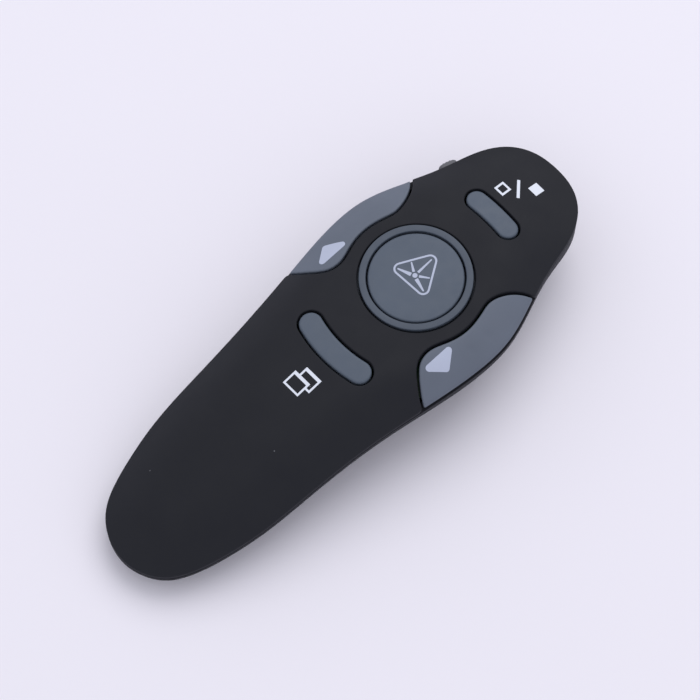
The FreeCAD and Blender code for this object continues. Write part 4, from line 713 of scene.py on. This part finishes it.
# Colour, size and depth of the grain in millimetres, roughness, and what else each finish has
FINISHES = {
    "soft_touch_black": ("body", 0.12, 0.006, 0.68, {"spread": 0.03, "variation": 0.04, "patch": 25.0,
                                                     "specks": 6.0, "edge_light": 0.04, "specular": 0.28}),
    "key_grey": ("keys", 0.1, 0.004, 0.6, {"specular": 0.4}),
    # Finish of the page keys: a lighter copy of the key grey, painted light for the tilted side keys
    "page_key_grey": ("page_keys_painted_light", 0.1, 0.004, 0.6, {"specular": 0.4}),
    "knob_grey": ("knob", 0.1, 0.004, 0.5, {}),
    "bezel_grey": ("bezel", 0.1, 0.004, 0.55, {"specular": 0.4}),
    "sign_ink": ("ink", 0.1, 0.001, 0.6, {"variation": 0.03}),
    "key_sign_ink": ("key_ink", 0.1, 0.001, 0.6, {"variation": 0.03}),
    "part_black": ("part", 0.3, 0.01, 0.5, {}),
    "window_dark": ("window", 0.6, 0.001, 0.12, {"spread": 0.04, "coat": 0.4}),
    "board_green": ("board", 0.5, 0.004, 0.35, {"variation": 0.2, "patch": 2.0}),
    "can_steel": ("can", 0.15, 0.004, 0.32, METAL),
    "barrel_brass": ("brass", 0.15, 0.004, 0.28, METAL),
    "contact_nickel": ("nickel", 0.15, 0.004, 0.3, METAL),
    "screw_steel": ("screw", 0.15, 0.004, 0.4, METAL),
    "lens_clear": ("lens", 0.8, 0.0005, 0.06, {"spread": 0.03, "transmission": 0.9}),
    "cell_jacket": ("jacket", 0.4, 0.002, 0.3, {"metallic": 0.3, "coat": 0.3}),
}


def finish(name):
    """The finish of that name, made once."""
    colour, grain, depth, roughness, rest = FINISHES[name]
    return finish_material(name, tuple(getattr(colours(), colour)), grain, depth, roughness, **rest)


# Outlines of the openings and keys

def page_key_edge(amount, spacing):
    """Inner edge of the left page key from front to rear, let out by an amount."""
    radius = shape().ring_radius
    wave = smooth_curve([(shape().ring_x + radius * u, radius * v) for u, v in PAGE_KEY_SHARES], spacing, False)
    run = np.gradient(wave, axis=0)
    run /= np.linalg.norm(run, axis=1)[:, None]
    return wave + np.stack([-run[:, 1], run[:, 0]], axis=1) * amount


def bowed_slot(centre_x, radius, half_width, half_angle, towards, spacing):
    """A slot with round ends along an arc, at a centre on the middle line."""
    def at(distance, angle):
        return (centre_x + towards * distance * math.cos(angle), distance * math.sin(angle))

    places = []
    for distance, sign in ((radius + half_width, 1), (radius - half_width, -1)):
        steps = max(4, int(2 * half_angle * distance / spacing))
        for step in range(steps):
            places.append(at(distance, sign * half_angle * (2 * step / steps - 1)))
        end = sign * half_angle
        centre = at(radius, end)
        steps = max(8, int(math.pi * half_width / spacing))
        for step in range(steps):
            turn = math.pi * step / steps
            out = sign * half_width * math.cos(turn)
            on = sign * half_width * math.sin(turn)
            places.append((centre[0] + towards * (out * math.cos(end) - on * math.sin(end)),
                           centre[1] + out * math.sin(end) + on * math.cos(end)))
    return np.array(places)


def arc_key_loop(amount, spacing):
    """Outline of the arc key, let out by an amount."""
    bow, width = shape().arc_key_bow, shape().arc_key_width
    half_angle = math.asin((shape().arc_key_length - width) / 2 / bow)
    centre_x = shape().ring_x - shape().arc_key_x + bow
    return bowed_slot(centre_x, bow, width / 2 + amount, half_angle, -1, spacing)


def bar_key_loop(amount, spacing):
    """Outline of the bar key, let out by an amount."""
    bow, width = shape().bar_key_bow, shape().bar_key_width
    half_angle = math.asin((shape().bar_key_length - width) / 2 / bow)
    centre_x = shape().ring_x + shape().bar_key_x - bow
    return bowed_slot(centre_x, bow, width / 2 + amount, half_angle, 1, spacing)


def circle_loop(centre_x, radius, spacing):
    steps = int(2 * math.pi * radius / spacing)
    turns = [2 * math.pi * step / steps for step in range(steps)]
    return np.array([(centre_x + radius * math.cos(turn), radius * math.sin(turn)) for turn in turns])


def run_of(loop, wanted):
    """The unbroken run of a closed loop where a condition holds."""
    starts = [index for index in range(len(loop)) if wanted[index] and not wanted[index - 1]]
    rolled = np.roll(loop, -starts[0], axis=0)
    count = int(np.sum(wanted))
    return rolled[:count]


def page_key_wave(amount, rim, spacing):
    """Inner edge of the left page key between the places where it meets a rim, from front to rear."""
    wave = page_key_edge(amount, spacing)
    hits = crossings(wave, rim)
    (front_step, front), (rear_step, rear) = hits[0], hits[-1]
    middle = wave[front_step + 1:rear_step + 1]
    clear = [np.linalg.norm(middle - end, axis=1) > spacing / 3 for end in (front, rear)]
    return np.concatenate([[front], middle[clear[0] & clear[1]], [rear]])


def top_loop(spacing):
    """Outline of the top, drawn in where the page keys stand."""
    rim = outline(spacing)
    left = page_key_wave(shape().page_gap, rim, spacing)
    nose = run_of(rim, rim[:, 0] > left[0, 0] + spacing / 3)
    tail = run_of(rim, rim[:, 0] < left[-1, 0] - spacing / 3)
    right = left[::-1] * OTHER_SIDE
    return softened(np.concatenate([nose, left, tail, right]), shape().corner_round)


def page_key_loop(spacing):
    """Outline of the left page key."""
    rim = outline(spacing)
    rim = rim - outward(rim) * shape().key_inset
    wave = page_key_wave(0.0, rim, spacing)
    between = (rim[:, 0] > wave[-1, 0] + spacing / 3) & (rim[:, 0] < wave[0, 0] - spacing / 3)
    side = run_of(rim, (rim[:, 1] > 0) & between)
    return softened(np.concatenate([wave, side[::-1]]), shape().key_corner_round)


def page_flange_loop(spacing):
    """Band inside the wall of the body that closes the gap below the left page key."""
    rim = outline(spacing)
    away = outward(rim)
    wave = page_key_wave(0.0, rim, spacing)
    end = shape().flange_end
    wanted = (rim[:, 1] > 0) & (rim[:, 0] > wave[-1, 0] + end) & (rim[:, 0] < wave[0, 0] - end)
    near = run_of(rim - away * shape().flange_inset, wanted)
    far = run_of(rim - away * (shape().flange_inset + shape().flange_width), wanted)
    return np.concatenate([near, far[::-1]])


# Pieces

class CLICKER_OT_finish_frame(bpy.types.Operator):
    """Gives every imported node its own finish"""
    bl_idname = "clicker.finish_frame"
    bl_label = "Inner parts"

    def execute(self, context):
        slots = {item["node"]: item.get("material_slot") for item in frame["record"]["subparts"]}
        for name, node in frame["nodes"].items():
            slot_name = slots.get(name)
            look = finish(slot_name if slot_name in FINISHES else "part_black")
            if not node.data.materials:
                node.data.materials.append(look)
            for place in node.material_slots:
                place.material = look
        return {"FINISHED"}


class CLICKER_OT_top_shell(bpy.types.Operator):
    """Makes the soft matte upper half with its openings"""
    bl_idname = "clicker.top_shell"
    bl_label = "Top shell"

    def execute(self, context):
        spacing = shape().mesh_spacing
        gap = shape().key_gap
        loops = [
            wound(top_loop(spacing), True),
            wound(circle_loop(shape().ring_x, shape().ring_radius + shape().ring_gap, spacing / 2), False),
            wound(arc_key_loop(gap, spacing / 2), False),
            wound(bar_key_loop(gap, spacing / 2), False),
        ]

        def floor(x, y):
            roof = crown_height(x, y) - shape().top_thickness
            return np.maximum(roof, seam_height(x))

        mesh = plate("top_shell_skin", [loops], crown_height, floor, spacing, shape().opening_round)
        add_piece("top_shell_skin", mesh, "soft_touch_black", "housing", ["top_shell"])
        return {"FINISHED"}


class CLICKER_OT_keys(bpy.types.Operator):
    """Makes the page keys, the arc key and the bar key"""
    bl_idname = "clicker.keys"
    bl_label = "Keys"

    def execute(self, context):
        spacing = shape().mesh_spacing / 2

        radius, reach = shape().ring_radius, shape().dent_radius

        def floor(x, y):
            return np.maximum(crown_height(x, y) - shape().key_depth, seam_height(x) + shape().key_foot)

        def dented(x, y):
            marks = [np.exp(-((x - shape().ring_x - radius * u) ** 2 + (y - radius * v) ** 2) / reach ** 2)
                     for u, v in DENT_SHARES]
            return crown_height(x, y) - shape().dent_depth * sum(marks)

        left = page_key_loop(spacing)
        right = left * OTHER_SIDE
        flange = page_flange_loop(spacing)
        flanges = {"page_back_unit": flange, "page_forward_unit": flange * OTHER_SIDE}
        for name, loop, height, node, body in (
                ("page_back_cap", left, crown_height, "page_back_key", "page_back_unit"),
                ("page_forward_cap", right, dented, "page_forward_key", "page_forward_unit"),
                ("slideshow_cap", arc_key_loop(0.0, spacing), crown_height, "slideshow_key", "slideshow_unit"),
                ("black_screen_cap", bar_key_loop(0.0, spacing), crown_height, "black_screen_key",
                 "black_screen_unit")):
            mesh = plate(name, [[wound(loop, True)]], height, floor, spacing, shape().key_round)
            look = "key_grey"
            if body in flanges:
                mesh = joined(name, [mesh, self.make_flange(name, flanges[body], spacing)])
                # The page keys get the lighter copy of the key grey, painted light for their tilted sides
                look = "page_key_grey"
            add_piece(name, mesh, look, body, [node])
        return {"FINISHED"}

    def make_flange(self, name, loop, spacing):
        """The band of a page key that closes the gap below it."""
        def top(x, y):
            return seam_height(x) + shape().flange_top

        def foot(x, y):
            return seam_height(x) - shape().flange_foot

        return plate(name + "_flange", [[wound(loop, True)]], top, foot, spacing * 1.5)


def ring_matrix():
    """From the ring's own frame to the clicker's."""
    place = Matrix.Translation((shape().ring_x, 0, shape().crown_height))
    return place @ Matrix.Rotation(-shape().ring_tilt, 4, "Y")


def cap_height(x, y):
    """Top of the laser button in the ring's own frame."""
    radius = shape().ring_radius - shape().ring_width - shape().cap_gap
    fall_share = 0.9
    return shape().cap_crown * (1 - fall_share * (np.square(x) + np.square(y)) / radius ** 2)


class CLICKER_OT_laser_button(bpy.types.Operator):
    """Makes the round laser button and its bezel"""
    bl_idname = "clicker.laser_button"
    bl_label = "Laser button"

    def execute(self, context):
        outer = shape().ring_radius
        inner = outer - shape().ring_width
        rise = shape().ring_rise
        soft_share = 0.9
        soft = rise * soft_share
        flange, seat, foot = outer + shape().ring_flange, -shape().ring_seat, -shape().ring_foot
        profile = [(inner, foot), (flange, foot), (flange, seat), (outer, seat), (outer, rise - soft)]
        profile += [(outer - inset, rise - drop) for inset, drop in reversed(rounding(soft, 5))]
        profile += [(inner + inset, rise - drop) for inset, drop in rounding(soft, 5)]
        mesh = lathe("bezel_ring", profile)
        mesh.transform(ring_matrix())
        add_piece("bezel_ring", mesh, "bezel_grey", "housing", ["laser_button_bezel"])
        radius = inner - shape().cap_gap
        edge, flange = shape().cap_edge, radius + shape().cap_flange
        wall, seat, foot = -shape().cap_wall, -shape().cap_seat, -shape().cap_foot
        reach_shares = [0.0, 0.15, 0.3, 0.45, 0.6, 0.75, 0.88, 1.0]
        reaches = [share * (radius - edge) for share in reach_shares]
        top = [(reach, float(cap_height(reach, 0))) for reach in reaches]
        low = top[-1][1]
        profile = top + [(radius - inset, low - drop) for inset, drop in rounding(edge, 5)[1:]]
        profile += [(radius, wall), (flange, seat), (flange, foot), (0.0, foot)]
        mesh = lathe("laser_cap", profile)
        mesh.transform(ring_matrix())
        add_piece("laser_cap", mesh, "key_grey", "laser_button_unit", ["laser_button"])
        return {"FINISHED"}


def knob_matrix():
    """From the power knob's own frame, whose Z stands out of the wall, to the clicker's."""
    angle = shape().knob_angle
    run = Vector((math.cos(angle), -math.sin(angle), 0))
    out = Vector((math.sin(angle), math.cos(angle), 0))
    turn = Matrix((run, Vector((0, 0, -1)), out)).transposed().to_4x4()
    return Matrix.Translation((shape().ring_x + shape().knob_x, shape().knob_side, shape().knob_height)) @ turn


def block_loop(half_length, half_width, radius, spacing, middle=0.0):
    """A rounded rectangle in the power knob's own frame."""
    corners = box_corners(middle - half_length, -half_width, middle + half_length, half_width)
    return rounded_sides(corners, radius, spacing)


class CLICKER_OT_power_knob(bpy.types.Operator):
    """Makes the power knob with its grip ribs, its neck and the flange behind the wall"""
    bl_idname = "clicker.power_knob"
    bl_label = "Power knob"

    def execute(self, context):
        half_length, half_width = shape().knob_length / 2, shape().knob_width / 2
        proud, lift = shape().knob_proud, shape().knob_lift

        def level(amount):
            return lambda u, v: np.full(np.shape(u), amount)

        end_fall, edge_fall = 0.35 * MM, 0.12 * MM

        def crown(u, v):
            return proud - end_fall * (np.abs(u) / half_length) ** 3 - edge_fall * (v / half_width) ** 2

        spacing, corner, rim = 0.2 * MM, 0.9 * MM, 0.4 * MM
        cap_loop = block_loop(half_length, half_width, corner, spacing)
        cap = plate("power_knob_cap", [[cap_loop]], crown, level(lift), spacing, rim)
        rib_half, rib_step, rib_rise, rib_root = 0.12 * MM, 0.75 * MM, 0.08 * MM, 0.1 * MM
        rib_share, rib_corner = 0.75, 0.1 * MM
        ribs = [[block_loop(rib_half, rib_share * half_width, rib_corner, spacing / 2, place * rib_step)]
                for place in (-1, 0, 1)]
        ribs = plate("power_knob_ribs", ribs, lambda u, v: crown(u, v) + rib_rise,
                     lambda u, v: crown(u, v) - rib_root, spacing)
        wall, neck_reach, flange_thickness = 1.8 * MM, 2.2 * MM, 0.7 * MM
        flange = -wall - 2 * lift
        neck_loop = block_loop(1.1 * MM, 0.75 * MM, 0.1 * MM, spacing)
        neck = plate("power_knob_neck", [[neck_loop]], level(2 * lift), level(flange - neck_reach), 2 * spacing)
        flange_loop = block_loop(2.7 * MM, 1.25 * MM, 0.2 * MM, spacing)
        flange_plate = plate("power_knob_flange", [[flange_loop]], level(flange),
                             level(flange - flange_thickness), 2 * spacing)
        mesh = joined("power_knob", [cap, ribs, neck, flange_plate])
        mesh.transform(knob_matrix())
        add_piece("power_knob", mesh, "knob_grey", "power_knob", ["power_switch_knob"])
        return {"FINISHED"}


def turned(regions, angle, middle):
    """Loops turned counter-clockwise about a middle."""
    matrix = np.array([[math.cos(angle), math.sin(angle)], [-math.sin(angle), math.cos(angle)]])
    return [[(loop - middle) @ matrix + middle for loop in region] for region in regions]


def laser_sign_regions(spacing):
    """The laser sign about the laser button: a rounded triangle, a dot and five rays."""
    half = signs().laser_stroke / 2
    corners = [(-signs().laser_base, -signs().laser_half), (signs().laser_apex, 0),
               (-signs().laser_base, signs().laser_half)]
    middle = rounded_sides(corners, signs().laser_round, spacing)
    line = outward(middle) * half
    regions = [[middle + line, wound(middle - line, False)], [circle_loop(0, signs().laser_dot, spacing / 2)]]
    radius, ray_round = shape().ring_radius, 0.1 * MM
    for ray in LASER_RAY_SHARES:
        start_u, start_v, end_u, end_v, start_width, end_width = [share * radius for share in ray]
        ray_loop = bar_loop((start_u, start_v), (end_u, end_v), start_width, end_width, ray_round, spacing)
        regions.append([ray_loop])
    regions = turned(regions, signs().laser_turn, np.zeros(2))
    return [[loop + np.array([0, signs().laser_shift]) for loop in region] for region in regions]


def bar_loop(start, end, start_width, end_width, radius, spacing):
    """A bar from one place to another, which may taper."""
    start, end = np.array(start), np.array(end)
    run = (end - start) / np.linalg.norm(end - start)
    side = np.array([-run[1], run[0]])
    corners = [start - side * start_width / 2, end - side * end_width / 2, end + side * end_width / 2,
               start + side * start_width / 2]
    return rounded_sides(corners, radius, spacing)


def page_sign_loop(spacing):
    """The triangle on the left page key."""
    x, base = shape().ring_x, signs().page_base_side
    corners = [(x + signs().page_back, base), (x + signs().page_front, base),
               (x + signs().page_apex, signs().page_apex_side)]
    return rounded_sides(corners, signs().page_round, spacing)


def square_loop(middle, side, spacing):
    """A square whose middle is a place from the laser button."""
    x, y = shape().ring_x + middle[0], middle[1]
    half = side / 2
    return sided(box_corners(x - half, y - half, x + half, y + half), spacing)


def screen_sign_regions(spacing):
    """An open square, a bar and a filled square, ahead of the bar key."""
    side = signs().screen_side
    hole = square_loop(signs().screen_open, side - 2 * signs().screen_stroke, spacing)
    ring, bar_round = np.array([shape().ring_x, 0]), 0.06 * MM
    bar = bar_loop(ring + np.array(signs().bar_back), ring + np.array(signs().bar_front), signs().bar_width,
                   signs().bar_width, bar_round, spacing)
    return [[square_loop(signs().screen_open, side, spacing), wound(hole, False)], [bar],
            [square_loop(signs().screen_filled, signs().screen_filled_side, spacing)]]


def slide_sign_regions(spacing):
    """Two slides behind the arc key, the rear one over the front one."""
    line, bold = signs().slide_stroke, signs().slide_front_stroke
    x0 = shape().ring_x + signs().slide_back
    y0 = signs().slide_low
    x1, y1 = x0 + signs().slide_length, y0 + signs().slide_width
    outer = sided(box_corners(x0, y0, x1, y1), spacing)
    hole = sided(box_corners(x0 + line, y0 + line, x1 - bold, y1 - line), spacing)
    back, front = x0 + signs().slide_step, x1 + signs().slide_step
    low, high = y0 - signs().slide_shift, y1 - signs().slide_shift
    behind = sided([(back, y0), (back, low), (front, low), (front, high), (x1, high), (x1, high - line),
                    (front - bold, high - line), (front - bold, low + line), (back + line, low + line),
                    (back + line, y0)], spacing)
    return turned([[outer, wound(hole, False)], [behind]], signs().slide_turn, outer.mean(axis=0))


class CLICKER_OT_signs(bpy.types.Operator):
    """Prints the plain signs on the keys and on the top"""
    bl_idname = "clicker.signs"
    bl_label = "Signs"

    def execute(self, context):
        spacing = shape().mesh_spacing / 3
        rise = signs().ink_rise

        def above(height):
            return lambda x, y: height(x, y) + rise

        def below(height):
            return lambda x, y: height(x, y) - 2 * rise

        regions = laser_sign_regions(spacing)
        mesh = plate("laser_sign", regions, above(cap_height), below(cap_height), spacing)
        mesh.transform(ring_matrix())
        add_piece("laser_sign", mesh, "key_sign_ink", "laser_button_unit")
        left = page_sign_loop(spacing)
        right = wound(left * OTHER_SIDE, True)
        for name, loop, shift, body in (
                ("page_back_sign", left, signs().left_shift, "page_back_unit"),
                ("page_forward_sign", right, signs().right_shift, "page_forward_unit")):
            loop = loop + np.array(shift)
            mesh = plate(name, [[loop]], above(crown_height), below(crown_height), spacing)
            add_piece(name, mesh, "key_sign_ink", body)
        for name, regions in (("screen_sign", screen_sign_regions(spacing)),
                              ("slide_sign", slide_sign_regions(spacing))):
            mesh = plate(name, regions, above(crown_height), below(crown_height), spacing)
            add_piece(name, mesh, "sign_ink", "housing")
        return {"FINISHED"}


# Stage

class CLICKER_OT_stage(bpy.types.Operator):
    """Sets the table, the light and the camera"""
    bl_idname = "clicker.stage"
    bl_label = "Stage"

    def execute(self, context):
        stage = context.scene.clicker_stage
        context.scene.view_settings.view_transform = "Standard"
        self.add_floor(stage)
        self.add_light(context, stage)
        self.add_camera(context, stage)
        return {"FINISHED"}

    def add_floor(self, stage):
        reach, drop = stage.floor_reach, stage.floor_drop
        corners = [(x, y, -drop) for x, y in box_corners(-reach, -reach, reach, reach)]
        mesh = bpy.data.meshes.new("table")
        mesh.from_pydata(corners, [], [(0, 1, 2, 3)])
        table = bpy.data.objects.new("table", mesh)
        bpy.context.scene.collection.objects.link(table)
        material = finish_material("table_white", tuple(stage.floor), 0.4, 0.002, 0.85, variation=0.004,
                                   patch=60.0, specular=0.1)
        mesh.materials.append(material)

    def add_light(self, context, stage):
        world = bpy.data.worlds.new("studio")
        context.scene.world = world
        world.use_nodes = True
        sky = world.node_tree.nodes["Background"]
        sky.inputs["Color"].default_value = tuple(stage.sky) + (1.0,)
        sky.inputs["Strength"].default_value = stage.sky_strength
        lamp = bpy.data.lights.new("large_lamp", "AREA")
        lamp.shape = "DISK"
        lamp.size = stage.lamp_size
        lamp.energy = stage.lamp_strength
        lamp.color = stage.lamp
        holder = bpy.data.objects.new("large_lamp", lamp)
        context.scene.collection.objects.link(holder)
        holder.location = stage.lamp_place
        holder.rotation_euler = (-holder.location).to_track_quat("-Z", "Y").to_euler()

    def add_camera(self, context, stage):
        camera = bpy.data.cameras.new("camera")
        camera.sensor_width = 36.0
        camera.lens = stage.camera_lens
        camera.clip_start = 0.01
        holder = bpy.data.objects.new("camera", camera)
        context.scene.collection.objects.link(holder)
        flat = math.cos(stage.camera_elevation)
        back = Vector((flat * math.cos(stage.camera_azimuth), flat * math.sin(stage.camera_azimuth),
                       math.sin(stage.camera_elevation)))
        right = Vector((0, 0, 1)).cross(back).normalized()
        up = back.cross(right)
        turn = Matrix((right, up, back)).transposed().to_4x4()
        holder.matrix_world = Matrix.Translation(stage.camera_place) @ turn
        context.scene.camera = holder


class CLICKER_PT_panel(bpy.types.Panel):
    """Lists the steps that dress the clicker"""
    bl_idname = "CLICKER_PT_panel"
    bl_label = "Presentation clicker"
    bl_space_type = "VIEW_3D"
    bl_region_type = "UI"
    bl_category = "Clicker"

    def draw(self, context):
        column = self.layout.column()
        for step in STEPS:
            column.operator(step.bl_idname)


STEPS = (
    CLICKER_OT_stage,
    CLICKER_OT_finish_frame,
    CLICKER_OT_top_shell,
    CLICKER_OT_keys,
    CLICKER_OT_laser_button,
    CLICKER_OT_power_knob,
    CLICKER_OT_signs,
)
GROUPS = {
    "clicker_shape": ClickerShape,
    "clicker_signs": ClickerSigns,
    "clicker_colours": ClickerColours,
    "clicker_stage": ClickerStage,
}
CLASSES = (*GROUPS.values(), *STEPS, CLICKER_PT_panel)


def register():
    for item in CLASSES:
        bpy.utils.register_class(item)
    for name, group in GROUPS.items():
        setattr(bpy.types.Scene, name, PointerProperty(type=group))


def unregister():
    for name in GROUPS:
        delattr(bpy.types.Scene, name)
    for item in reversed(CLASSES):
        bpy.utils.unregister_class(item)


def main():
    register()
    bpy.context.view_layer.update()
    for step in STEPS:
        group, name = step.bl_idname.split(".")
        getattr(getattr(bpy.ops, group), name)()


if __name__ == "__main__":
    main()
